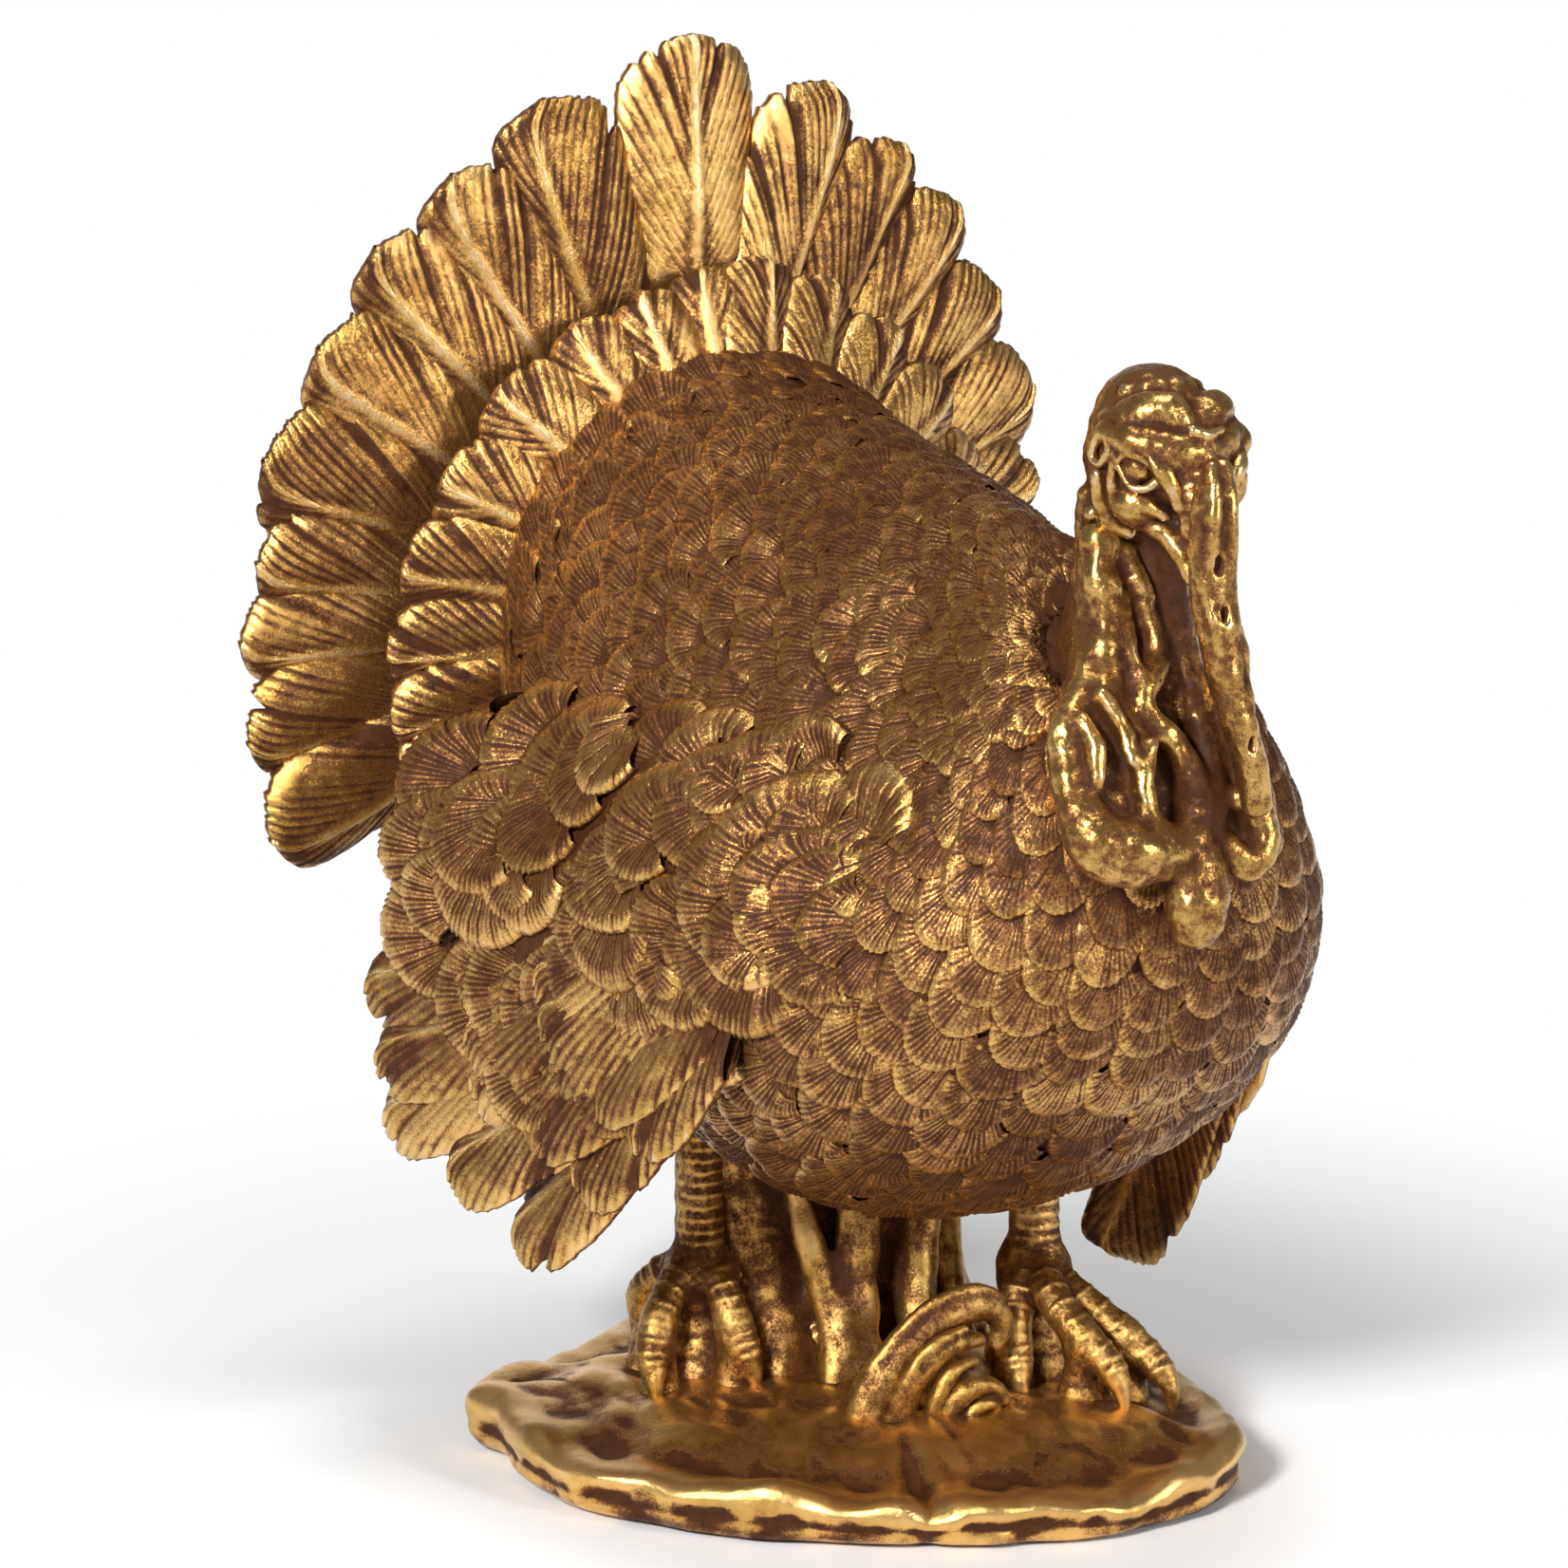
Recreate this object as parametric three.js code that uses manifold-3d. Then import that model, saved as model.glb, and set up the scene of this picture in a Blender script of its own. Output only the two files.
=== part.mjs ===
// A strutting turkey figure in hand-finished cast resin, on a rocky ground with a trunk under its belly.
// Units are millimetres. +Z is up and the bird faces -Y. The origin is on the resting face, under the trunk.
// Every casting is cut back from its neighbour by seatGap, which is the bond line between them.
import * as THREE from "three";
import { mergeVertices } from "three/addons/utils/BufferGeometryUtils.js";
import Module from "manifold-3d";

const wasm = await Module();
wasm.setup();

// Joints between castings
const seatGap = 0.3;
const fleshGap = 0.5;
const cutOverrun = 2;
const spigotDepth = 11;

// Body, a hollow egg from the neck ring to the rump ring
const bodyLength = 186;
const bodyHeight = 173;
const bodyWidth = 138;
const bodyWall = 6;
const chestReach = 126;
const bellyHeight = 61;
const rowRelief = 1.8;
const scallopReach = 4;
const featherRows = 13;
const feathersAround = 16;

// Tail fan and the shorter feathers in front of it
const fanRadius = 127;
const fanHeight = 177;
const fanStandoff = 6;
const fanSetback = bodyLength - chestReach + fanStandoff;
const fanSweep = 17;
const fanHalfSpreadAngle = 115;
const fanFeatherWidth = 35;
const fanFeatherThickness = 4.2;
const fanFeatherCamber = 3.4;
const fanRollAngle = 12;
const fanHubRadius = 50;
const fanHubThickness = 6;
const fanSpigotRadius = 15;
const covertReach = 74;
const covertSideReach = 83;
const covertLead = 8;
const covertSetback = fanSetback - covertLead;
const covertCount = 15;
const covertHalfSpreadAngle = 112;
const covertWidth = 25;
const covertThickness = 5;
const covertCamber = 2.4;
const covertRise = 14;

// Wings, folded down along the flanks
const wristOut = 58;
const wristAhead = 76;
const wristHeight = 131;
const wingLength = 135;
const wingDroopAngle = 45;
const wingSplayAngle = 18;
const wingFeatherWidth = 21;
const wingFeatherThickness = 3.6;
const wingFeatherCamber = 2;
const wingShellThickness = 9;
const wingCovertReachShares = [0.76, 0.56];
const wingCovertLift = 2.6;
const wingPegRadius = 6;
const leftWingDroopAngle = 54;
const leftWingSplayAngle = 8;
const leftWingStretchShare = 1.17;

// Neck, head and the fleshy parts that hang from them
const neckSpigotRadius = 10;
const headWidth = 34;
const headHeight = 75;
const headReach = 46;
const snoodLength = 68;
const snoodWidth = 9.5;
const snoodAhead = 130;
const snoodTop = 238;
const wattleTop = 216;
const wattleDrop = 76;
const wattleWidth = 42;
const wattleAhead = 133;
const wattleFoldRadius = 4.6;
const wattleBulbRadius = 9;

// Legs and feet
const shankRadius = 5.6;
const ankleHeight = 42;
const legRise = 34;
const rightLegOut = 34;
const rightLegBack = 8;
const leftLegOut = 30;
const leftLegAhead = 28;
const toeRadius = 4.7;
const footMoundRadius = 14;
const legSpigotRadius = 4.6;
const legRodRadius = 2;
const legRodFoot = 5;

// Trunk
const trunkWidth = 78;
const trunkDepth = 60;
const trunkOut = 5;
const trunkBack = 15;
const trunkBury = 27;
const trunkFoldDepth = 3.4;
const trunkFoldCount = 9;
const trunkTwistAngle = 140;
const trunkSpigotRadius = 17;

// Ground
const groundLength = 156;
const groundWidth = 150;
const groundAhead = 11;
const groundOut = 5;
const groundRim = 12.5;
const groundMound = 6.5;
const groundWave = 3;
const groundWaveCount = 4;
const rimRound = 4;
const feltThickness = 1;
const feltInset = 4;

// Curled leaves on the ground, between the feet
const leafReach = 29;
const leafRise = 24;
const leafTurnAngle = 99;
const leafThickness = 8.6;
const leafOut = 21;
const leafAhead = 38;

// How finely the round forms are cut into faces
const ringPoints = 32;
const smoothRingPoints = 24;
const smoothRings = 10;
const headRings = 13;
const headSides = 16;
const toeSides = 7;
const bulbSides = 10;
const bulbRings = 7;
const shankSides = 12;
const pegSides = 16;
const snoodSides = 10;
const leafRings = 6;

const degree = Math.PI / 180;

const vec = (x, y, z) => new THREE.Vector3(x, y, z);

// Uniform Catmull-Rom through rows of numbers, at t from 0 to 1.
function splineAt(rows, t) {
  const last = rows.length - 1;
  const place = Math.min(Math.max(t, 0), 1) * last;
  const i = Math.min(Math.floor(place), last - 1);
  const f = place - i;
  const before = rows[Math.max(i - 1, 0)];
  const after = rows[Math.min(i + 2, last)];
  return rows[i].map((start, k) => {
    const end = rows[i + 1][k];
    const leave = (end - before[k]) / 2;
    const arrive = (after[k] - start) / 2;
    const cubic = 2 * start - 2 * end + leave + arrive;
    const square = 3 * end - 3 * start - 2 * leave - arrive;
    return ((cubic * f + square) * f + leave) * f + start;
  });
}

function geometryOf(positions, index) {
  const geometry = new THREE.BufferGeometry();
  geometry.setAttribute("position", new THREE.Float32BufferAttribute(positions, 3));
  geometry.setIndex(index);
  return geometry;
}

function signedVolume(positions, index) {
  const corner = (i) => vec(positions[3 * i], positions[3 * i + 1], positions[3 * i + 2]);
  let sum = 0;
  for (let i = 0; i < index.length; i += 3) {
    sum += corner(index[i]).dot(corner(index[i + 1]).cross(corner(index[i + 2])));
  }
  return sum;
}

// A closed skin over rings with the same number of points, turned so that its faces point out.
function loft(rings) {
  const count = rings[0].length;
  const positions = rings.flat().flatMap((p) => [p.x, p.y, p.z]);
  const index = [];
  for (let r = 0; r + 1 < rings.length; r++) {
    for (let i = 0; i < count; i++) {
      const a = r * count + i;
      const b = r * count + ((i + 1) % count);
      index.push(a, b, b + count, a, b + count, a + count);
    }
  }
  for (const [r, turned] of [[0, true], [rings.length - 1, false]]) {
    const middle = rings[r].reduce((sum, p) => sum.add(p), vec(0, 0, 0)).divideScalar(count);
    const hub = positions.length / 3;
    positions.push(middle.x, middle.y, middle.z);
    for (let i = 0; i < count; i++) {
      const a = r * count + i;
      const b = r * count + ((i + 1) % count);
      index.push(...(turned ? [hub, b, a] : [hub, a, b]));
    }
  }
  if (signedVolume(positions, index) < 0) index.reverse();
  return solidOf(geometryOf(positions, index));
}

function solidOf(geometry) {
  const bare = geometry.clone();
  bare.deleteAttribute("normal");
  bare.deleteAttribute("uv");
  const merged = mergeVertices(bare);
  const vertProperties = merged.attributes.position.array;
  const triVerts = new Uint32Array(merged.index.array);
  return new wasm.Manifold(new wasm.Mesh({ numProp: 3, vertProperties, triVerts }));
}

function meshOf(name, solid, look) {
  const { vertProperties, triVerts, numProp } = solid.getMesh();
  const positions = [];
  for (let i = 0; i < vertProperties.length; i += numProp) {
    positions.push(vertProperties[i], vertProperties[i + 1], vertProperties[i + 2]);
  }
  const geometry = geometryOf(positions, Array.from(triVerts));
  geometry.computeVertexNormals();
  const mesh = new THREE.Mesh(geometry, look);
  mesh.name = name;
  return mesh;
}

const joined = (solids) => solids.reduce((all, one) => all.add(one));
const less = (solid, cutters) => cutters.reduce((left, cutter) => left.subtract(cutter), solid);

// The largest connected body of a solid, without the crumbs that a cut leaves.
function mainBody(solid) {
  return solid.decompose().reduce((best, one) => (one.volume() > best.volume() ? one : best));
}

// A round rod from one point to another.
function rod(from, to, radius, sides = smoothRingPoints) {
  const axis = to.clone().sub(from);
  const geometry = new THREE.CylinderGeometry(radius, radius, axis.length(), sides);
  geometry.applyQuaternion(new THREE.Quaternion().setFromUnitVectors(vec(0, 1, 0), axis.clone().normalize()));
  const middle = from.clone().add(to).divideScalar(2);
  return solidOf(geometry.translate(middle.x, middle.y, middle.z));
}

function ellipsoid(centre, radii) {
  const geometry = new THREE.SphereGeometry(1, bulbSides, bulbRings);
  geometry.scale(radii.x, radii.y, radii.z);
  return solidOf(geometry.translate(centre.x, centre.y, centre.z));
}

// A tapered tube through stations of centre and radius, square to its path.
function taperedTube(stations, sides = toeSides) {
  const path = stations.map((s) => s.at);
  const rings = stations.map((s, i) => {
    const ahead = path[Math.min(i + 1, path.length - 1)].clone().sub(path[Math.max(i - 1, 0)]).normalize();
    const side = Math.abs(ahead.x) > Math.SQRT1_2 ? vec(0, 1, 0) : vec(1, 0, 0);
    const lift = ahead.clone().cross(side).normalize();
    const out = lift.clone().cross(ahead);
    return Array.from({ length: sides }, (_, k) => {
      const angle = (2 * Math.PI * k) / sides;
      return s.at
        .clone()
        .addScaledVector(out, s.radius * Math.cos(angle))
        .addScaledVector(lift, s.radius * Math.sin(angle));
    });
  });
  return loft(rings);
}

// Half widths of a blade along its length: each row is a share of its length and of its half width.
const fanBladeShares = [[0, 0.3], [0.35, 0.62], [0.7, 0.94], [0.88, 1], [0.97, 0.78], [1, 0.5]];
const roundBladeShares = [[0, 0.45], [0.4, 0.85], [0.72, 1], [0.93, 0.72], [1, 0.35]];
const wingBladeShares = [[0, 0.35], [0.3, 0.7], [0.7, 1], [0.92, 0.86], [1, 0.42]];

// A feather as a thin blade with a raised shaft. face is the side that shows, roll turns it about its shaft.
function blade({ root, tip, face, width, thickness, camber, roll = 0, shares, grow }) {
  const along = tip.clone().sub(root);
  const length = along.length();
  along.normalize();
  const side = along.clone().cross(face).normalize();
  side.applyAxisAngle(along, roll * degree);
  const up = side.clone().cross(along).normalize();
  const rings = shares.map(([reach, share], i) => {
    const end = i === 0 ? -grow : i === shares.length - 1 ? grow : 0;
    const middle = root.clone().addScaledVector(along, reach * length + end);
    const half = (share * width) / 2 + grow;
    const point = (across, height) =>
      middle.clone().addScaledVector(side, across).addScaledVector(up, height);
    const low = -thickness - grow;
    return [
      point(-half, grow),
      point(0, camber + grow),
      point(half, grow),
      point(half, low),
      point(-half, low),
    ];
  });
  return loft(rings);
}

// Body

// Rings from the neck to the rump: where the back and the breast line lie, as shares of the body's length
// from the chest and of its height from the belly, then the half width as a share of the body's width, and
// how much of it hangs low.
const bodyRingShares = [
  [0.22, 0.82, 0.05, 0.67, 0.13, 0],
  [0.255, 0.855, 0.012, 0.58, 0.2, 0.2],
  [0.3, 0.88, 0, 0.465, 0.245, 0.42],
  [0.345, 0.893, 0.03, 0.335, 0.3, 0.56],
  [0.395, 0.9, 0.11, 0.215, 0.365, 0.54],
  [0.45, 0.905, 0.22, 0.11, 0.445, 0.38],
  [0.52, 0.912, 0.355, 0.035, 0.48, 0.26],
  [0.6, 0.922, 0.505, 0, 0.498, 0.15],
  [0.685, 0.935, 0.66, 0.011, 0.495, 0.07],
  [0.775, 0.952, 0.8, 0.075, 0.475, 0.02],
  [0.865, 0.975, 0.915, 0.195, 0.44, 0],
  [0.945, 1, 1, 0.362, 0.4, 0],
];

// Centre, half height and half width of the body at t, from 0 at the neck to 1 at the rump.
function bodySection(t) {
  const [backY, backZ, breastY, breastZ, half, low] = splineAt(bodyRingShares, t);
  const back = vec(0, backY * bodyLength - chestReach, backZ * bodyHeight + bellyHeight);
  const breast = vec(0, breastY * bodyLength - chestReach, breastZ * bodyHeight + bellyHeight);
  const centre = back.clone().add(breast).divideScalar(2);
  const rise = back.sub(breast).divideScalar(2);
  return { centre, reach: rise.length(), up: rise.clone().normalize(), half: half * bodyWidth, low };
}

// A point of the body's outline, angle 0 on the back, grow outside it.
function bodyPoint(t, angle, grow) {
  const { centre, reach, up, half, low } = bodySection(t);
  const width = half * (1 - low * Math.cos(angle)) + grow;
  return centre
    .addScaledVector(up, (reach + grow) * Math.cos(angle))
    .add(vec(width * Math.sin(angle), 0, 0));
}

// The way from the neck to the rump at t, square to the ring.
function bodyHeading(t) {
  const { up } = bodySection(t);
  return vec(0, up.z, -up.y);
}

// The smooth body between two stations, grow outside its outline all over.
function smoothBody(grow, [from, to]) {
  const rings = [];
  for (let r = 0; r <= smoothRings; r++) {
    const t = from + ((to - from) * r) / smoothRings;
    const push = r === 0 ? -grow : r === smoothRings ? grow : 0;
    const shift = bodyHeading(t).multiplyScalar(push);
    rings.push(
      Array.from({ length: smoothRingPoints }, (_, i) =>
        bodyPoint(t, (2 * Math.PI * i) / smoothRingPoints, grow).add(shift),
      ),
    );
  }
  return loft(rings);
}

// A ring of points along the scalloped edge of a row, lift outside the body's outline.
function featherRing(row, lift, push) {
  const plain = row === 0 || row === featherRows;
  const reach = plain ? 0 : scallopReach;
  const heading = bodyHeading(row / featherRows);
  return Array.from({ length: ringPoints }, (_, i) => {
    const angle = (2 * Math.PI * i) / ringPoints;
    const tip = Math.abs(Math.cos((angle * feathersAround + row * Math.PI) / 2));
    return bodyPoint(row / featherRows, angle, lift).addScaledVector(heading, reach * (tip - 1) + push);
  });
}

// Rows of overlapping feathers, each row rising from under the one before it to its own edge.
function featheredBody(lift = 0) {
  const rings = [];
  for (let row = 0; row < featherRows; row++) {
    rings.push(featherRing(row, lift - rowRelief, 0), featherRing(row + 1, lift, 0));
  }
  return loft(rings);
}

// A plain skin over the edges of the feathers, which cuts every casting that seats on the body.
function bodyCover(grow) {
  const rings = [];
  for (let row = 0; row <= featherRows; row++) {
    rings.push(featherRing(row, grow, row === 0 ? -grow : row === featherRows ? grow : 0));
  }
  return loft(rings);
}

const wholeBodyShares = [0, 1];
const cavityShares = [0.06, 0.97];
const rumpSection = bodySection(1);
const neckSection = bodySection(0);
const flankPegAt = vec(wristOut, -wristAhead / 2, wristHeight);
const trunkCentre = vec(trunkOut, trunkBack, 0);

// Castings that stand on the ground

const groundMiddle = vec(-groundOut, -groundAhead, 0);

function groundTopAt(x, y) {
  const across = (x + groundOut) / (groundWidth / 2);
  const along = (y + groundAhead) / (groundLength / 2);
  const inside = Math.max(0, 1 - across * across - along * along);
  return groundRim + groundMound * Math.sqrt(inside);
}

// The ground's broken outline, seen from above and going round from its left corner: how far to the side
// and to the back of its middle, as shares of its half width and half length.
const groundEdgeShares = [
  [-1, 0.53],
  [-0.9, 0.15],
  [-0.72, -0.28],
  [-0.46, -0.66],
  [-0.14, -0.87],
  [0.26, -0.98],
  [0.61, -0.97],
  [0.82, -0.74],
  [0.93, -0.42],
  [1, 0],
  [0.97, 0.46],
  [0.7, 0.83],
  [0.24, 1],
  [-0.22, 0.97],
  [-0.6, 0.82],
  [-0.86, 0.74],
];

function groundEdge(share) {
  const place = share * groundEdgeShares.length;
  const nearest = Math.floor(place);
  const round = [-1, 0, 1, 2].map(
    (step) => groundEdgeShares[(nearest + step + groundEdgeShares.length) % groundEdgeShares.length],
  );
  const [x, y] = splineAt(round, (1 + place - nearest) / 3);
  return groundMiddle.clone().add(vec((x * groundWidth) / 2, (y * groundLength) / 2, 0));
}

// The ground's outline, inset from its edge, at a height.
function groundRing(inset, height) {
  return Array.from({ length: ringPoints }, (_, i) => {
    const out = groundEdge(i / ringPoints).sub(groundMiddle);
    out.multiplyScalar((out.length() - inset) / out.length());
    return out.add(groundMiddle).setZ(height);
  });
}

// Rings over the ground's crown, from the rim inwards, as shares of the outline.
const crownShares = [0.85, 0.6, 0.3];

function crownRing(share, grow) {
  return groundRing(0, 0).map((edge) => {
    const at = groundMiddle.clone().lerp(edge, share);
    const wave = groundWave * Math.sin(groundWaveCount * Math.atan2(edge.x, edge.y));
    return at.setZ(groundTopAt(at.x, at.y) + wave * share * (1 - share) + grow);
  });
}

function groundSolid(grow = 0) {
  return loft([
    groundRing(rimRound / 2 - grow, feltThickness - grow),
    groundRing(-grow, feltThickness + rimRound / 2),
    groundRing(-grow, groundRim - rimRound),
    groundRing(rimRound / 2 - grow, groundRim - rimRound / 4),
    ...crownShares.map((share) => crownRing(share, grow)),
  ]);
}

function feltSolid() {
  const inset = rimRound + feltInset;
  return loft([groundRing(inset, 0), groundRing(inset, feltThickness - seatGap)]);
}

// Girth of the trunk along its height, from the ground to inside the belly, as shares of its foot.
const trunkGirthShares = [1, 0.82, 0.74, 0.74, 0.8, 0.92];

// Folds that run down the trunk: girth as a share of its width, then places from the foot up, as shares of
// half its width to the side, of half its depth back and of its height.
const trunkFoldShares = [
  [0.044, [-0.54, -1.1, 0.03], [-0.5, -0.87, 0.34], [-0.56, -0.73, 0.52], [-0.64, -0.43, 1]],
  [0.041, [-0.41, -1.17, 0.02], [-0.34, -0.92, 0.28], [-0.3, -0.87, 0.46], [-0.33, -0.77, 0.95]],
  [0.059, [0.1, -1.23, 0.02], [0.12, -0.91, 0.31], [0.17, -0.85, 0.47], [0.18, -0.8, 0.89]],
  [0.044, [0.49, -0.93, 0.02], [0.41, -0.8, 0.23], [0.44, -0.67, 0.44], [0.56, -0.47, 0.95]],
  [0.041, [-0.85, -0.6, 0.02], [-0.79, -0.43, 0.23], [-0.79, -0.33, 0.44], [-0.92, -0.17, 0.95]],
];

function trunkFolds(grow) {
  const height = bellyHeight + trunkBury - groundRim;
  return trunkFoldShares.map(([girth, ...places]) =>
    taperedTube(
      places.map(([out, back, up]) => ({
        at: vec((out * trunkWidth) / 2, (back * trunkDepth) / 2, groundRim + up * height).add(trunkCentre),
        radius: girth * trunkWidth + grow,
      })),
    ),
  );
}

function trunkSolid(grow = 0) {
  const rings = trunkGirthShares.map((share, r) => {
    const up = r / (trunkGirthShares.length - 1);
    const height = THREE.MathUtils.lerp(groundRim, bellyHeight + trunkBury, up) - (r === 0 ? grow : 0);
    return Array.from({ length: ringPoints }, (_, i) => {
      const angle = (2 * Math.PI * i) / ringPoints;
      const wave = trunkFoldDepth * Math.cos(trunkFoldCount * angle + trunkTwistAngle * degree * up);
      const out = wave * (1 - up / 2) + grow;
      const wide = (share * trunkWidth) / 2 + out;
      const deep = (share * trunkDepth) / 2 + out;
      return vec(wide * Math.cos(angle), deep * Math.sin(angle), height).add(trunkCentre);
    });
  });
  return joined([loft(rings), ...trunkFolds(grow)]);
}

// Toes from the ankle to the claw's tip: how far to the side and ahead, as shares of the ankle's height.
const rightToeShares = [
  [-0.48, 0.33],
  [-0.05, 0.6],
  [0.49, 0.49],
  [-0.1, -0.3],
];
const leftToeShares = [
  [-0.4, 0.45],
  [0.1, 0.7],
  [0.4, 0.74],
  [0.1, -0.3],
];

// Along a toe: place as a share of its reach, height as a share of the ankle's height over the ground, and
// girth as a share of its radius.
const toeFormShares = [
  [0, 1, 1],
  [0.5, 0.68, 1.05],
  [0.85, 0.24, 0.9],
  [1, 0, 0.4],
];

function toe(ankle, [outShare, aheadShare], grow) {
  const tip = vec(ankle.x + outShare * ankleHeight, ankle.y - aheadShare * ankleHeight, 0);
  const ground = groundTopAt(tip.x, tip.y);
  const stations = toeFormShares.map(([reach, rise, girth]) => ({
    at: ankle.clone().lerp(tip, reach).setZ(THREE.MathUtils.lerp(ground, ankleHeight, rise)),
    radius: girth * toeRadius + grow,
  }));
  return taperedTube(stations);
}

// Up a leg: height as a share of the shank's rise over the ankle, and girth as a share of its radius.
const shankShares = [
  [-0.16, 1.25],
  [0.16, 1],
  [0.5, 1],
  [1, 1.2],
];

// The foot's mound, from the ground to the ankle: height and girth, as shares of the ankle's height over the
// ground and of the mound's radius.
const moundShares = [
  [0, 1],
  [0.5, 0.7],
  [1, 0.4],
];

function legSolid(place, toes, grow = 0) {
  const ankle = place.clone().setZ(ankleHeight);
  const shank = shankShares.map(([rise, girth]) => ({
    at: place.clone().setZ(ankleHeight + rise * legRise),
    radius: girth * shankRadius + grow,
  }));
  const mound = moundShares.map(([rise, girth]) => ({
    at: place.clone().setZ(THREE.MathUtils.lerp(groundRim - grow, ankleHeight, rise)),
    radius: girth * footMoundRadius + grow,
  }));
  return joined([
    taperedTube(shank, shankSides),
    taperedTube(mound, shankSides),
    ...toes.map((t) => toe(ankle, t, grow)),
  ]);
}

// Curled leaves from the largest to the smallest: the place of the foot to the side of the largest one's and
// ahead of it, then the size, all as shares of the largest one's reach.
const leafShares = [
  [0, 0, 1],
  [0.26, 0.14, 0.64],
  [0.6, 0.28, 0.36],
];

// Girth of a leaf at its foot and at its tip, as shares of its thickness.
const leafGirthShares = [1.1, 0.6];

// A curled leaf that springs from the ground and arches over to its blunt tip.
function leafSolid(order, grow = 0) {
  const [out, ahead, size] = leafShares[order];
  const foot = vec(-leafOut + out * leafReach, -leafAhead - ahead * leafReach, 0);
  const base = groundTopAt(foot.x, foot.y);
  const stations = Array.from({ length: leafRings + 1 }, (_, i) => {
    const turn = (leafTurnAngle * degree * i) / leafRings;
    const run = leafReach * size * (1 - Math.cos(turn));
    const rise = leafRise * size * Math.sin(turn);
    const at = vec(foot.x + run, foot.y - (leafThickness * Math.sin(turn)) / 2, base + rise);
    const girth = THREE.MathUtils.lerp(...leafGirthShares, i / leafRings) * Math.sqrt(size);
    return { at, radius: (girth * leafThickness) / 2 + grow };
  });
  return taperedTube(stations);
}

// Castings that hang on the body

const fanCentre = vec(0, fanSetback, fanHeight);

// Feathers of the fan from the middle one to the lowest: angle from straight up as a share of the half
// spread, length as a share of the radius, width as a share of the widest one's.
const fanFeatherShares = [
  [0, 1, 1],
  [0.155, 0.945, 0.89],
  [0.265, 0.905, 0.77],
  [0.365, 0.89, 0.77],
  [0.475, 0.855, 0.86],
  [0.6, 0.85, 0.94],
  [0.705, 0.82, 0.71],
  [0.79, 0.84, 0.69],
  [0.895, 0.85, 0.8],
  [1, 0.87, 0.83],
];

// Where a feather of the fan springs from, as a share of the hub's radius.
const fanRootShare = 0.34;

// How far back the fan sweeps at a distance to the side.
const sweepAt = (x) => fanSweep * (x / fanRadius) ** 2;

// A feather that stands across the body, at an angle from straight up. It runs from inner to outer, and from
// back to front.
function fanFeather(angle, { inner, outer, front, back, ...form }) {
  const out = vec(Math.sin(angle), 0, Math.cos(angle));
  const root = vec(0, back, fanHeight).addScaledVector(out, inner);
  const tip = vec(0, front, fanHeight).addScaledVector(out, outer);
  root.y += sweepAt(root.x);
  tip.y += sweepAt(tip.x);
  return blade({ root, tip, face: vec(0, -1, 0), roll: fanRollAngle * Math.sign(angle), ...form });
}

function fanSolid(grow = 0) {
  const feathers = fanFeatherShares.flatMap(([turn, reach, wide], order) => {
    const setback = fanSetback + (fanFeatherThickness * order) / fanFeatherShares.length;
    return (order === 0 ? [0] : [-turn, turn]).map((place) =>
      fanFeather(place * fanHalfSpreadAngle * degree, {
        inner: fanHubRadius * fanRootShare,
        outer: fanRadius * reach,
        front: setback,
        back: setback,
        width: fanFeatherWidth * wide,
        thickness: fanFeatherThickness,
        camber: fanFeatherCamber,
        shares: fanBladeShares,
        grow,
      }),
    );
  });
  const front = fanCentre.clone();
  front.y -= grow;
  const back = fanCentre.clone();
  back.y += fanHubThickness + grow;
  return joined([rod(front, back, fanHubRadius + grow), ...feathers]);
}

function fanSpigot(clearance) {
  const inside = rumpSection.centre.clone();
  inside.y -= spigotDepth + clearance;
  const outside = vec(0, fanSetback + fanHubThickness / 2, inside.z);
  return rod(inside, outside, fanSpigotRadius + clearance);
}

// Where a covert springs from, as a share of its own reach.
const covertRootShare = 0.62;

function covertsSolid(grow = 0) {
  const feathers = [];
  for (let i = 0; i < covertCount; i++) {
    const place = (2 * i) / (covertCount - 1) - 1;
    const angle = place * covertHalfSpreadAngle * degree;
    const outer = covertReach + (covertSideReach - covertReach) * place * place;
    feathers.push(
      fanFeather(angle, {
        inner: outer * covertRootShare,
        outer,
        front: covertSetback,
        back: covertSetback - covertRise,
        width: covertWidth,
        thickness: covertThickness,
        camber: covertCamber,
        shares: roundBladeShares,
        grow,
      }),
    );
  }
  return joined(feathers);
}

// Long feathers of the wing from the highest to the lowest: droop below level, splay off the body's line, and
// length, as shares of the wing's own greatest ones.
const wingFeatherShares = [
  [0.04, 0.67, 0.97],
  [0.16, 0.83, 0.95],
  [0.28, 0.93, 0.98],
  [0.44, 0.98, 0.97],
  [0.57, 0.93, 1],
  [0.76, 1, 0.87],
  [1, 0.92, 0.81],
];

// Where a wing's feather comes out of its shoulder, as a share of its own reach.
const wingRootShare = 0.25;

// side is -1 for the right wing and 1 for the left one, which hangs lower and closer.
function wingFrame(side) {
  const left = side > 0;
  return {
    side,
    wrist: vec(side * wristOut, -wristAhead, wristHeight),
    droop: left ? leftWingDroopAngle : wingDroopAngle,
    splay: left ? leftWingSplayAngle : wingSplayAngle,
    stretch: left ? leftWingStretchShare : 1,
  };
}

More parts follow.
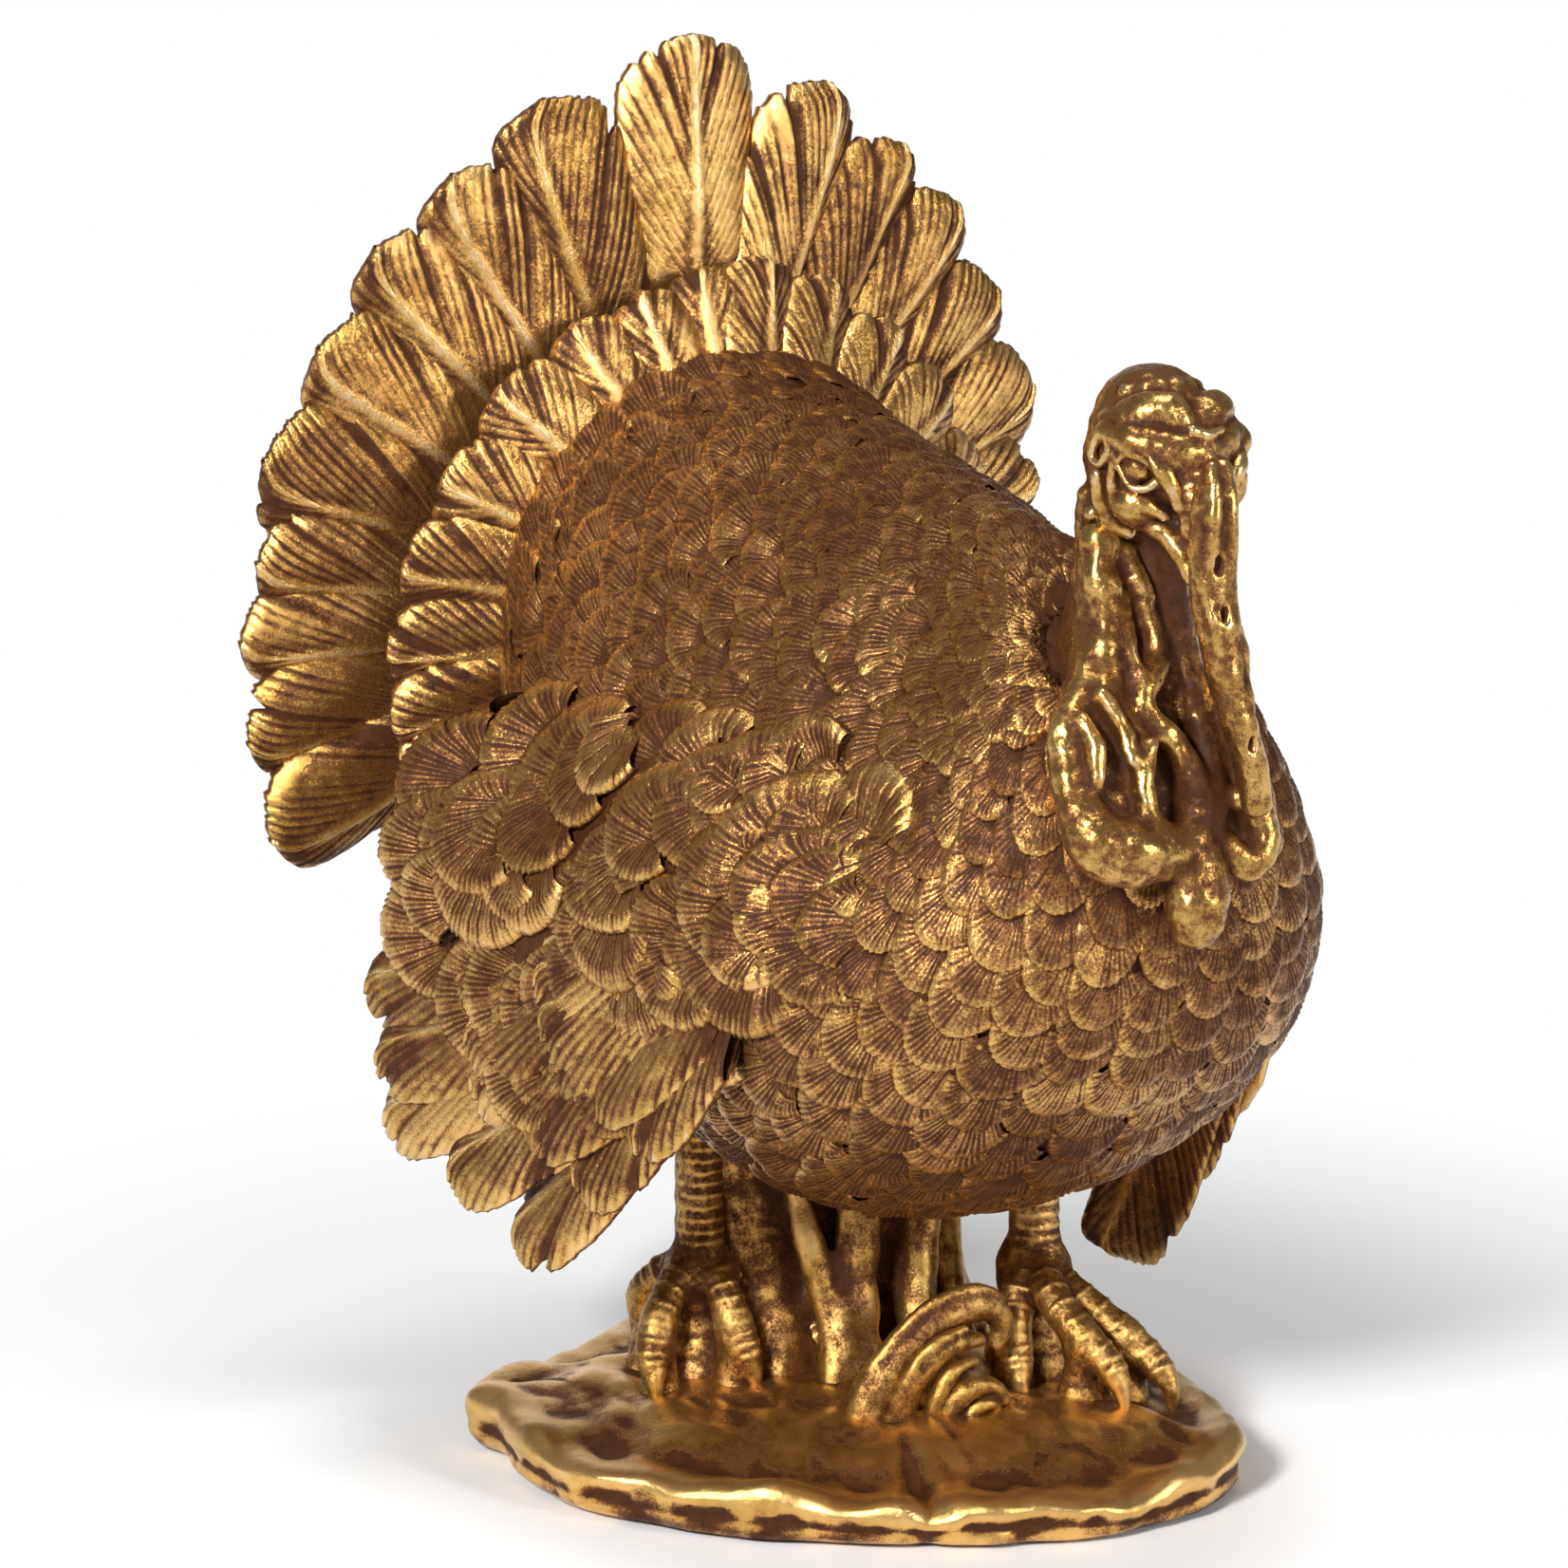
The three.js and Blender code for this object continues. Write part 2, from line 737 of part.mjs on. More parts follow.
function wingBlade(frame, order, reachShare, lift, grow) {
  const [droopShare, splayShare, lengthShare] = wingFeatherShares[order];
  const droop = droopShare * frame.droop * degree;
  const splay = splayShare * frame.splay * degree;
  const full = wingLength * lengthShare * THREE.MathUtils.lerp(1, frame.stretch, droopShare);
  const heading = vec(
    frame.side * Math.sin(splay),
    Math.cos(splay) * Math.cos(droop),
    -Math.cos(splay) * Math.sin(droop),
  );
  const face = vec(frame.side, 0, 0);
  const under = (order * wingFeatherThickness) / wingFeatherShares.length;
  const root = frame.wrist.clone().addScaledVector(face, lift);
  root.addScaledVector(heading, full * reachShare * wingRootShare);
  const tip = frame.wrist.clone().addScaledVector(heading, full * reachShare);
  tip.addScaledVector(face, lift - under);
  return blade({
    root,
    tip,
    face,
    width: wingFeatherWidth,
    thickness: wingFeatherThickness,
    camber: wingFeatherCamber,
    shares: wingBladeShares,
    grow,
  });
}

// Outline of the wing's shoulder on the flank, as shares of the wing's length behind the wrist and above it.
const shoulderShares = [
  [-0.08, -0.02],
  [-0.02, 0.2],
  [0.2, 0.34],
  [0.55, 0.38],
  [0.85, 0.24],
  [0.78, -0.05],
  [0.45, -0.28],
  [0.15, -0.3],
];

function wingShell(frame, grow) {
  const outline = shoulderShares.map(([behind, above]) => [
    -wristAhead + behind * wingLength,
    wristHeight + above * wingLength,
  ]);
  const wall = (x) => outline.map(([y, z]) => vec(x, y, z));
  const prism = loft([wall(0), wall(frame.side * bodyWidth)]);
  return featheredBody(wingShellThickness + grow).intersect(prism);
}

function wingSolid(side, grow = 0) {
  const frame = wingFrame(side);
  const blades = wingFeatherShares.flatMap((_, order) => [
    wingBlade(frame, order, 1, 0, grow),
    ...wingCovertReachShares.map((share, layer) =>
      wingBlade(frame, order, share, (layer + 1) * wingCovertLift, grow),
    ),
  ]);
  return joined([wingShell(frame, grow), ...blades]);
}

function wingPeg(side, clearance) {
  const inner = vec(side * (wristOut - spigotDepth - clearance), flankPegAt.y, flankPegAt.z);
  const outer = vec(side * (bodyWidth + wingShellThickness) / 2, flankPegAt.y, flankPegAt.z);
  return rod(inner, outer, wingPegRadius + clearance, pegSides);
}

// Neck and head as rings between a back line and a throat line: how far ahead of the neck ring's middle and
// above it, as shares of the head's reach and height, then the half width as a share of the head's width.
const headRingShares = [
  [-0.33, 0.09, 0.33, -0.16, 0.56],
  [-0.27, 0.19, 0.24, 0.03, 0.4],
  [-0.22, 0.28, 0.15, 0.19, 0.27],
  [-0.18, 0.37, 0.15, 0.32, 0.24],
  [-0.13, 0.47, 0.26, 0.41, 0.3],
  [-0.09, 0.57, 0.52, 0.47, 0.43],
  [-0.04, 0.68, 0.65, 0.55, 0.5],
  [0.07, 0.77, 0.67, 0.64, 0.485],
  [0.22, 0.83, 0.59, 0.73, 0.35],
  [0.35, 0.84, 0.46, 0.81, 0.15],
];

function headSolid(grow = 0) {
  const from = neckSection.centre;
  const rings = [];
  for (let r = 0; r <= headRings; r++) {
    const [backY, backZ, throatY, throatZ, half] = splineAt(headRingShares, r / headRings);
    const back = vec(0, from.y - backY * headReach, from.z + backZ * headHeight);
    const throat = vec(0, from.y - throatY * headReach, from.z + throatZ * headHeight);
    const middle = back.clone().add(throat).divideScalar(2);
    const rise = back.clone().sub(throat).divideScalar(2);
    const reach = rise.length() + grow;
    rise.normalize();
    rings.push(
      Array.from({ length: headSides }, (_, i) => {
        const angle = (2 * Math.PI * i) / headSides;
        return middle
          .clone()
          .addScaledVector(rise, reach * Math.cos(angle))
          .add(vec((half * headWidth + grow) * Math.sin(angle), 0, 0));
      }),
    );
  }
  return loft(rings);
}

function neckSpigot(clearance) {
  const heading = bodyHeading(0);
  const outer = neckSection.centre.clone().addScaledVector(heading, -neckSpigotRadius / 3);
  const inner = neckSection.centre.clone().addScaledVector(heading, spigotDepth + clearance);
  return rod(outer, inner, neckSpigotRadius + clearance);
}

// The snood from the forehead down over the beak: drop, sideways and ahead as shares of its length, radius of
// its width.
const snoodShares = [
  [0, 0, -0.03, 0.5],
  [0.1, 0, 0.04, 0.62],
  [0.22, 0, 0.03, 0.6],
  [0.36, 0, 0, 0.5],
  [0.6, 0.03, 0, 0.46],
  [0.82, 0.09, 0.045, 0.48],
  [0.95, 0.12, 0.075, 0.46],
  [1, 0.12, 0.08, 0.3],
];

function snoodSolid(grow = 0) {
  const stations = snoodShares.map(([drop, side, ahead, radius]) => ({
    at: vec(side * snoodLength, -snoodAhead - ahead * snoodLength, snoodTop - drop * snoodLength),
    radius: radius * snoodWidth + grow,
  }));
  return taperedTube(stations, snoodSides);
}

// Folds of the wattle from the throat down, and the bulbs that end it: sideways as a share of its width,
// ahead and drop as shares of its drop. A bulb's last share is its size.
const wattleFoldShares = [
  [[-0.16, -0.42, 0], [-0.4, -0.24, 0.34], [-0.56, -0.1, 0.66]],
  [[-0.06, -0.36, 0.02], [-0.22, -0.2, 0.34], [-0.34, -0.04, 0.68]],
  [[0.02, -0.28, 0.04], [-0.1, -0.12, 0.4], [-0.08, 0.02, 0.84]],
  [[0.08, -0.24, 0.06], [0.12, -0.12, 0.36], [0.2, 0, 0.68]],
];
const wattleFoldGirthShares = [0.7, 0.95, 1.2];
const wattleBulbShares = [
  [-0.5, -0.06, 0.74, 1.1],
  [-0.07, 0.04, 0.89, 0.9],
  [0.22, 0.02, 0.73, 0.9],
];
const bulbFormShares = [0.95, 0.8, 1.15];

function wattleSolid(grow = 0) {
  const at = ([side, ahead, drop]) =>
    vec(side * wattleWidth, -wattleAhead - ahead * wattleDrop, wattleTop - drop * wattleDrop);
  const folds = wattleFoldShares.map((fold) => {
    const stations = fold.map((place, i) => ({
      at: at(place),
      radius: wattleFoldGirthShares[i] * wattleFoldRadius + grow,
    }));
    return taperedTube(stations);
  });
  const bulbs = wattleBulbShares.map(([side, ahead, drop, size]) => {
    const radii = bulbFormShares.map((share) => share * size * wattleBulbRadius + grow);
    return ellipsoid(at([side, ahead, drop]), vec(...radii));
  });
  return joined([...folds, ...bulbs]);
}

// Assembly

const rightLegPlace = vec(-rightLegOut, rightLegBack, 0);
const leftLegPlace = vec(leftLegOut, -leftLegAhead, 0);

function legSpigot(place, clearance) {
  const from = place.clone().setZ(ankleHeight + legRise / 2);
  const to = place.clone().setZ(ankleHeight + legRise + spigotDepth + clearance);
  return rod(from, to, legSpigotRadius + clearance, pegSides);
}

function legRod(place, clearance) {
  const from = place.clone().setZ(legRodFoot - clearance);
  const to = place.clone().setZ(ankleHeight + legRise + spigotDepth - legRodRadius + clearance);
  return rod(from, to, legRodRadius + clearance, shankSides);
}

function trunkSpigot(clearance, from, to) {
  return rod(trunkCentre.clone().setZ(from), trunkCentre.clone().setZ(to), trunkSpigotRadius + clearance);
}

const trunkTopZ = bellyHeight + bodyWall + 2 * spigotDepth;
const trunkFootZ = feltThickness + bodyWall;

const legs = [
  { name: "right", place: rightLegPlace, toes: rightToeShares },
  { name: "left", place: leftLegPlace, toes: leftToeShares },
];
const sides = [
  { name: "right", side: -1 },
  { name: "left", side: 1 },
];

const body = less(featheredBody(), [
  smoothBody(-bodyWall - rowRelief, cavityShares),
  neckSpigot(seatGap),
  fanSpigot(seatGap),
  trunkSpigot(seatGap, groundRim, trunkTopZ + cutOverrun),
  ...sides.map(({ side }) => wingPeg(side, seatGap)),
  ...legs.map(({ place }) => legSpigot(place, seatGap)),
]);

const bodyCutter = bodyCover(seatGap);
const groundCutter = groundSolid(seatGap);
const trunkCutter = trunkSolid(seatGap);
const fanCutter = fanSolid(seatGap);
const headCutter = headSolid(fleshGap);
const legCutters = legs.map(({ place, toes }) =>
  legSolid(place, toes, seatGap).add(legSpigot(place, seatGap)),
);

const trunk = joined([
  mainBody(less(trunkSolid(), [bodyCutter, groundCutter, ...legCutters])),
  trunkSpigot(0, trunkFootZ, trunkTopZ),
]);

const legBodies = legs.map(({ place, toes }) => {
  const cut = less(legSolid(place, toes), [bodyCutter, groundCutter]);
  return less(cut.add(legSpigot(place, 0)), [legRod(place, seatGap)]);
});

const leaves = leafShares.map((_, order) => {
  const cutters = [groundCutter, trunkCutter, ...legCutters];
  for (let other = 0; other < order; other++) cutters.push(leafSolid(other, seatGap));
  return mainBody(less(leafSolid(order), cutters));
});

const ground = less(groundSolid(), [
  trunkSpigot(seatGap, trunkFootZ - seatGap, groundRim + groundMound + cutOverrun),
  ...legs.map(({ place }) => legRod(place, seatGap)),
]);

const fan = joined([less(fanSolid(), [bodyCutter]), fanSpigot(0)]);
const coverts = mainBody(less(covertsSolid(), [bodyCutter, fanCutter]));
const wings = sides.map(({ side }) => {
  const cut = less(wingSolid(side), [bodyCutter, fanCutter, covertsSolid(seatGap)]);
  return joined([mainBody(cut), wingPeg(side, 0)]);
});
const head = joined([less(headSolid(), [bodyCutter]), neckSpigot(0)]);
const snood = mainBody(less(snoodSolid(), [headCutter, bodyCutter]));
const wattle = mainBody(less(wattleSolid(), [headCutter, bodyCutter, snoodSolid(fleshGap)]));

const gold = new THREE.MeshStandardMaterial({ color: 0xa9782f, roughness: 0.38, metalness: 0.9 });
const darkGold = new THREE.MeshStandardMaterial({ color: 0x80572a, roughness: 0.45, metalness: 0.85 });
const steel = new THREE.MeshStandardMaterial({ color: 0xb5b8bb, roughness: 0.3, metalness: 1 });
const felt = new THREE.MeshStandardMaterial({ color: 0x2c2019, roughness: 1, metalness: 0 });

const figure = new THREE.Group();
figure.add(
  meshOf("ground", ground, darkGold),
  meshOf("ground_felt", feltSolid(), felt),
  meshOf("trunk", trunk, darkGold),
  meshOf("body", body, gold),
  meshOf("tail_fan", fan, gold),
  meshOf("tail_coverts", coverts, gold),
  meshOf("head_and_neck", head, gold),
  meshOf("snood", snood, gold),
  meshOf("wattle", wattle, gold),
);
legs.forEach(({ name, place }, i) => {
  figure.add(meshOf(name + "_leg", legBodies[i], darkGold));
  figure.add(meshOf(name + "_leg_rod", legRod(place, 0), steel));
});
sides.forEach(({ name }, i) => figure.add(meshOf(name + "_wing", wings[i], gold)));
leaves.forEach((leaf, i) => figure.add(meshOf("ground_leaf_" + (i + 1), leaf, darkGold)));

export default figure;
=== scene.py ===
# A strutting turkey figure in antique gilt resin, each casting of the frame dressed feather by feather.
# Shapes are worked out in millimetres, in the frame's own axes: +Z is up and the bird faces -Y.
import math

import bpy
import numpy as np
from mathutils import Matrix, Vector


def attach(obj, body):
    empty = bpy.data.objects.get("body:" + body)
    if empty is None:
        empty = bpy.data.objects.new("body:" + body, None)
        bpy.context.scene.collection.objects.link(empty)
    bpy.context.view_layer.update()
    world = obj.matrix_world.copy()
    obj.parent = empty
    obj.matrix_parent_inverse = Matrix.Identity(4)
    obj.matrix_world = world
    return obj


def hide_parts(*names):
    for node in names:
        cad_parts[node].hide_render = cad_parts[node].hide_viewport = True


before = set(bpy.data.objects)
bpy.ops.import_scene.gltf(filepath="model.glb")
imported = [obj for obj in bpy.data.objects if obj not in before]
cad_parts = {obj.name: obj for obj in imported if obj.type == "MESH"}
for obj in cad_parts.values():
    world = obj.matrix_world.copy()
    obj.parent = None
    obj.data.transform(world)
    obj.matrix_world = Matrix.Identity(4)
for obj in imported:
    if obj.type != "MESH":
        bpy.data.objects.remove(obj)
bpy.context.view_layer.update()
scene = bpy.context.scene
MM = 0.001
random = np.random.default_rng(11)


# Numbers and curves

def unit(v):
    return v / np.maximum(np.linalg.norm(v, axis=-1, keepdims=True), 1e-9)


def mix(a, b, share):
    return a + (b - a) * share


def smooth(low, high, x):
    t = np.clip((x - low) / (high - low), 0, 1)
    return t * t * (3 - 2 * t)


def spline(rows, t):
    """Uniform Catmull-Rom through rows of numbers, at t from 0 to 1."""
    rows = np.asarray(rows, float)
    last = len(rows) - 1
    place = np.clip(t, 0, 1) * last
    i = np.minimum(place.astype(int), last - 1)
    f = (place - i)[..., None]
    before, start = rows[np.maximum(i - 1, 0)], rows[i]
    end, after = rows[i + 1], rows[np.minimum(i + 2, last)]
    leave, arrive = (end - before) / 2, (after - start) / 2
    cubic = 2 * start - 2 * end + leave + arrive
    square = 3 * end - 3 * start - 2 * leave - arrive
    return ((cubic * f + square) * f + leave) * f + start


def walked(points):
    """How far along a line of points each of them is."""
    return np.concatenate([[0], np.cumsum(np.linalg.norm(np.diff(points, axis=0), axis=-1))])


def averaged(values, reach):
    """Values averaged with the ones up to reach places away."""
    window = 2 * reach + 1
    return np.convolve(np.pad(values, reach, "edge"), np.ones(window) / window, "valid")


def lattice(i, j, k, seed):
    """A number from 0 to 1 for each whole place."""
    h = (i * 374761393 + j * 668265263 + k * 2147483647 + seed * 1274126177) & 0xFFFFFFFF
    h = ((h ^ (h >> 13)) * 1103515245) & 0xFFFFFFFF
    return ((h ^ (h >> 16)) & 0xFFFF) / 65535.0


def noise(points, size, seed=0):
    """Smooth value noise from -1 to 1 with lumps of about the given size."""
    p = np.asarray(points, float) / size + 1000.0
    base = np.floor(p).astype(np.int64)
    f = p - base
    f = f * f * (3 - 2 * f)
    total = np.zeros(len(p))
    for a in (0, 1):
        for b in (0, 1):
            for c in (0, 1):
                weight = (
                    (f[:, 0] if a else 1 - f[:, 0])
                    * (f[:, 1] if b else 1 - f[:, 1])
                    * (f[:, 2] if c else 1 - f[:, 2])
                )
                total += weight * lattice(base[:, 0] + a, base[:, 1] + b, base[:, 2] + c, seed)
    return total * 2 - 1


# Meshes

class Patch:
    """Points, four-cornered faces, and each point's relief with painted shade, and tone, from 0 to 1.
    """

    def __init__(self):
        self.points, self.faces, self.relief, self.tone = [], [], [], []
        self.count = 0

    def add(self, points, faces, relief, tone):
        shape = points.shape[:-1]
        self.points.append(points.reshape(-1, 3))
        self.faces.append(faces + self.count)
        self.relief.append(np.broadcast_to(relief, shape).ravel())
        self.tone.append(np.broadcast_to(tone, shape).ravel())
        self.count += self.points[-1].shape[0]

    def arrays(self):
        return (
            np.concatenate(self.points),
            np.concatenate(self.faces),
            np.concatenate(self.relief),
            np.concatenate(self.tone),
        )


def grid_faces(rows, columns, closed=False):
    """Faces of a grid of rows by columns of points, with its columns closed into a loop or not."""
    r = np.arange(rows - 1)[:, None]
    c = np.arange(columns if closed else columns - 1)[None, :]
    n = (c + 1) % columns
    return np.stack(
        [r * columns + c, r * columns + n, (r + 1) * columns + n, (r + 1) * columns + c], -1
    ).reshape(-1, 4)


def mesh_piece(name, points, faces, relief, tone, material, slot, node):
    """A piece of the figure that stands for a node of the frame. Its points are in millimetres."""
    mesh = bpy.data.meshes.new(name)
    mesh.vertices.add(len(points))
    mesh.vertices.foreach_set("co", (points * MM).astype(np.float32).ravel())
    mesh.loops.add(faces.size)
    mesh.loops.foreach_set("vertex_index", faces.astype(np.int32).ravel())
    mesh.polygons.add(len(faces))
    mesh.polygons.foreach_set("loop_start", np.arange(0, faces.size, 4, dtype=np.int32))
    mesh.update(calc_edges=True)
    mesh.validate()
    mesh.shade_smooth()
    for key, values in (("relief", relief), ("tone", tone)):
        layer = mesh.attributes.new(key, "FLOAT", "POINT")
        layer.data.foreach_set("value", np.clip(values, 0, 1).astype(np.float32))
    mesh.materials.append(material)
    piece = bpy.data.objects.new(name, mesh)
    scene.collection.objects.link(piece)
    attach(piece, "root")
    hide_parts(node)


def feather_piece(name, patch, node):
    mesh_piece(name, *patch.arrays(), feather_gilt, "gilt_resin", node)


def standing(points, faces, passes, scale):
    """How far points stand out of their surroundings, below 0 where they lie in them."""
    pairs = np.concatenate([faces[:, [0, 1]], faces[:, [1, 2]], faces[:, [2, 3]], faces[:, [3, 0]]])
    count = np.bincount(pairs.ravel(), minlength=len(points))[:, None]
    blurred = points.copy()
    for _ in range(passes):
        total = np.zeros_like(points)
        for axis in range(3):
            total[:, axis] = np.bincount(pairs[:, 0], blurred[pairs[:, 1], axis], len(points))
            total[:, axis] += np.bincount(pairs[:, 1], blurred[pairs[:, 0], axis], len(points))
        blurred = total / np.maximum(count, 1)
    return ((points - blurred) * normals_of(points, faces)).sum(-1) / scale


def normals_of(points, faces):
    a, b, c, d = (points[faces[:, i]] for i in range(4))
    face = np.cross(c - a, d - b)
    total = np.zeros_like(points)
    for i in range(4):
        for axis in range(3):
            total[:, axis] += np.bincount(faces[:, i], face[:, axis], len(points))
    return unit(total)


# Gilt: gold that is bright on what stands out and worn to brown in the grooves, browned as well by the
# painted shade that the relief attribute carries, and pale gold as a painted highlight on what stands
# out most

# Pale gold, painted as a highlight on what stands out most.
PALE_HIGHLIGHT = (0.84, 0.65, 0.40)
GOLD = (0.76, 0.45, 0.14)
OLIVE = (0.55, 0.325, 0.075)
COPPER = (0.54, 0.255, 0.10)
BRONZE = (0.26, 0.108, 0.037)
PATINA = (0.034, 0.0115, 0.0042)
DUST = (0.088, 0.031, 0.0095)


class Shading:
    """A material's nodes, with short ways to add to them."""

    def __init__(self, name):
        self.material = bpy.data.materials.new(name)
        self.material.use_nodes = True
        self.nodes = self.material.node_tree.nodes
        self.shader = self.nodes["Principled BSDF"]

    def feed(self, target, sockets):
        """Sets a node's inputs, each from a socket or to a value."""
        for key, value in sockets.items():
            if isinstance(value, bpy.types.NodeSocket):
                self.material.node_tree.links.new(value, target.inputs[key])
            else:
                target.inputs[key].default_value = value

    def add(self, kind, output, sockets, **settings):
        node = self.nodes.new("ShaderNode" + kind)
        for key, value in settings.items():
            setattr(node, key, value)
        self.feed(node, sockets)
        return node.outputs[output]

    def place(self):
        return self.add("TexCoord", "Object", {})

    def sum_of(self, terms, start=0.0):
        for socket, factor in terms:
            start = self.add("Math", 0, {0: socket, 1: factor, 2: start}, operation="MULTIPLY_ADD")
        return start

    def span(self, socket, low, high, to_low=0.0, to_high=1.0):
        return self.add(
            "MapRange", "Result",
            {"Value": socket, "From Min": low, "From Max": high, "To Min": to_low, "To Max": to_high},
            interpolation_type="SMOOTHSTEP",
        )

    def ramp(self, socket, stops):
        node = self.nodes.new("ShaderNodeValToRGB")
        self.feed(node, {"Fac": socket})
        elements = node.color_ramp.elements
        while len(elements) < len(stops):
            elements.new(0.5)
        for element, (at, colour) in zip(elements, stops):
            element.position = at
            element.color = (*colour, 1)
        return node.outputs["Color"]

    def blend(self, share, first, second):
        return self.add("Mix", "Result", {"Factor": share, "A": first, "B": second}, data_type="RGBA")


def gilt(name, wear, bright, rough, bumps, highlight_share=1.0):
    """wear is the relief at which half the gold is gone, bright scales the gold's own colour, bumps the
    grain, and highlight_share is how pale the painted highlight makes the gold where it stands out
    most."""
    look = Shading(name)
    place = look.place()

    def grain(size, detail, roughness=0.55):
        return look.add(
            "TexNoise", "Fac",
            {"Vector": place, "Scale": 1 / (size * MM), "Detail": detail, "Roughness": roughness},
        )

    def lit(colour):
        return tuple(c * bright for c in colour)

    fine, mid, broad = grain(0.55, 3, 0.7), grain(3.2, 4), grain(17, 3)
    relief, tone = (look.add("Attribute", "Fac", {}, attribute_name=key) for key in ("relief", "tone"))
    stands = look.sum_of([(relief, 1.1), (fine, 0.8), (mid, 0.5), (broad, 0.35), (tone, 0.16)], -0.98)
    gold_share = look.span(stands, wear - 0.2, wear + 0.2)
    gold = look.ramp(
        look.sum_of([(broad, 0.9), (mid, 0.5), (tone, 0.35)], -0.37),
        [(0.12, lit(COPPER)), (0.34, lit(OLIVE)), (0.62, lit(GOLD))],
    )
    gold = look.blend(look.span(stands, wear - 0.05, wear + 0.36), (*lit(BRONZE), 1), gold)
    # Painted highlight: where the gilt stands out most, it turns pale gold.
    painted_highlight = look.span(stands, wear + 0.3, wear + 0.75, 0.0, highlight_share)
    gold = look.blend(painted_highlight, gold, (*lit(PALE_HIGHLIGHT), 1))
    brown = look.ramp(look.sum_of([(mid, 0.9), (fine, 0.6)], -0.25), [(0.25, PATINA), (0.8, DUST)])
    dull = look.sum_of([(gold_share, -0.75), (fine, 0.5)], 0.6)
    height = look.sum_of([(fine, 1.0), (mid, 1.2)])
    grooves = look.add("Bump", "Normal", {"Strength": 0.7, "Distance": bumps * MM, "Height": height})
    look.feed(look.shader, {
        "Base Color": look.blend(gold_share, brown, gold),
        "Metallic": look.span(gold_share, 0.0, 1.0, 0.0, 0.94),
        "Specular IOR Level": 0.12,
        "Roughness": look.span(dull, 0.0, 1.0, rough, rough + 0.34),
        "Normal": grooves,
    })
    return look.material


feather_gilt = gilt("gilt_feathers", 0.49, 1.08, 0.2, 0.3)
flesh_gilt = gilt("gilt_flesh", 0.47, 0.86, 0.22, 0.13, 0.8)
ground_gilt = gilt("gilt_ground", 0.39, 1.14, 0.22, 0.18, 0.15)
wood_gilt = gilt("gilt_trunk", 0.53, 0.84, 0.3, 0.26, 0.25)


# Body

BODY_LENGTH, BODY_HEIGHT, BODY_WIDTH = 186, 173, 138
CHEST_REACH, BELLY_HEIGHT = 126, 61
# Rings from the neck to the rump: place along and height of the back, the same of the breast, half
# width, and how much wider the ring is below.
BODY_RINGS = [
    [0.22, 0.82, 0.05, 0.67, 0.13, 0],
    [0.255, 0.855, 0.012, 0.58, 0.2, 0.2],
    [0.3, 0.88, 0, 0.465, 0.245, 0.42],
    [0.345, 0.893, 0.03, 0.335, 0.3, 0.56],
    [0.395, 0.9, 0.11, 0.215, 0.365, 0.54],
    [0.45, 0.905, 0.22, 0.11, 0.445, 0.38],
    [0.52, 0.912, 0.355, 0.035, 0.48, 0.26],
    [0.6, 0.922, 0.505, 0, 0.498, 0.15],
    [0.685, 0.935, 0.66, 0.011, 0.495, 0.07],
    [0.775, 0.952, 0.8, 0.075, 0.475, 0.02],
    [0.865, 0.975, 0.915, 0.195, 0.44, 0],
    [0.945, 1, 1, 0.362, 0.4, 0],
]


def body_point(t, angle, grow):
    """A point of the body's outline, angle 0 on the back, grow outside it. It runs on past the rump."""
    t, angle, grow = np.broadcast_arrays(t, angle, grow)
    *ends, half, low = np.moveaxis(spline(BODY_RINGS, t), -1, 0)
    back, breast = (
        np.stack([0 * t, y * BODY_LENGTH - CHEST_REACH, z * BODY_HEIGHT + BELLY_HEIGHT], -1)
        for y, z in (ends[:2], ends[2:])
    )
    rise = (back - breast) / 2
    reach = np.linalg.norm(rise, axis=-1)
    up = rise / reach[..., None]
    width = half * BODY_WIDTH * (1 - low * np.cos(angle)) + grow
    point = (back + breast) / 2 + up * ((reach + grow) * np.cos(angle))[..., None]
    point[..., 0] += width * np.sin(angle)
    beyond = np.maximum(t - 1, 0) * BODY_LENGTH
    point[..., 1] += up[..., 2] * beyond
    point[..., 2] -= up[..., 1] * beyond
    return point


# The plain skin under the feathers: its rows and columns of points, where it ends and how deep it lies.
SKIN_ROWS, SKIN_COLUMNS = 60, 96
SKIN_END, SKIN_DEPTH = 0.985, 1.3


def add_skin(patch):
    t = np.linspace(0, SKIN_END, SKIN_ROWS)[:, None]
    angle = np.linspace(0, 2 * math.pi, SKIN_COLUMNS, endpoint=False)[None, :]
    points = body_point(t, angle, -SKIN_DEPTH)
    ends = [np.broadcast_to(points[i].mean(0), (1, SKIN_COLUMNS, 3)) for i in (0, -1)]
    points = np.concatenate([ends[0], points, ends[1]])
    patch.add(points, grid_faces(SKIN_ROWS + 2, SKIN_COLUMNS, closed=True), 0.1, 0.3)


# A round feather from its root to its rim: shares of its reach, drop in millimetres, and painted shade
# in the crevice where its rim drops under.
SCALLOP_REACH = np.array([0.28, 0.56, 0.78, 0.93, 1, 0.99])
SCALLOP_DROP = np.array([0, 0.01, 0.08, 0.36, 1.15, 2.7])
SCALLOP_SHADE = np.array([0, 0, 0, 0, 0.05, 0.8])
# The height of its root and the width of a barb, in millimetres.
SCALLOP_ROOT, SCALLOP_BARB = -1.9, 1.08
# Share of the body's rows of feathers that are on the breast.
BREAST_SHARE = 0.56


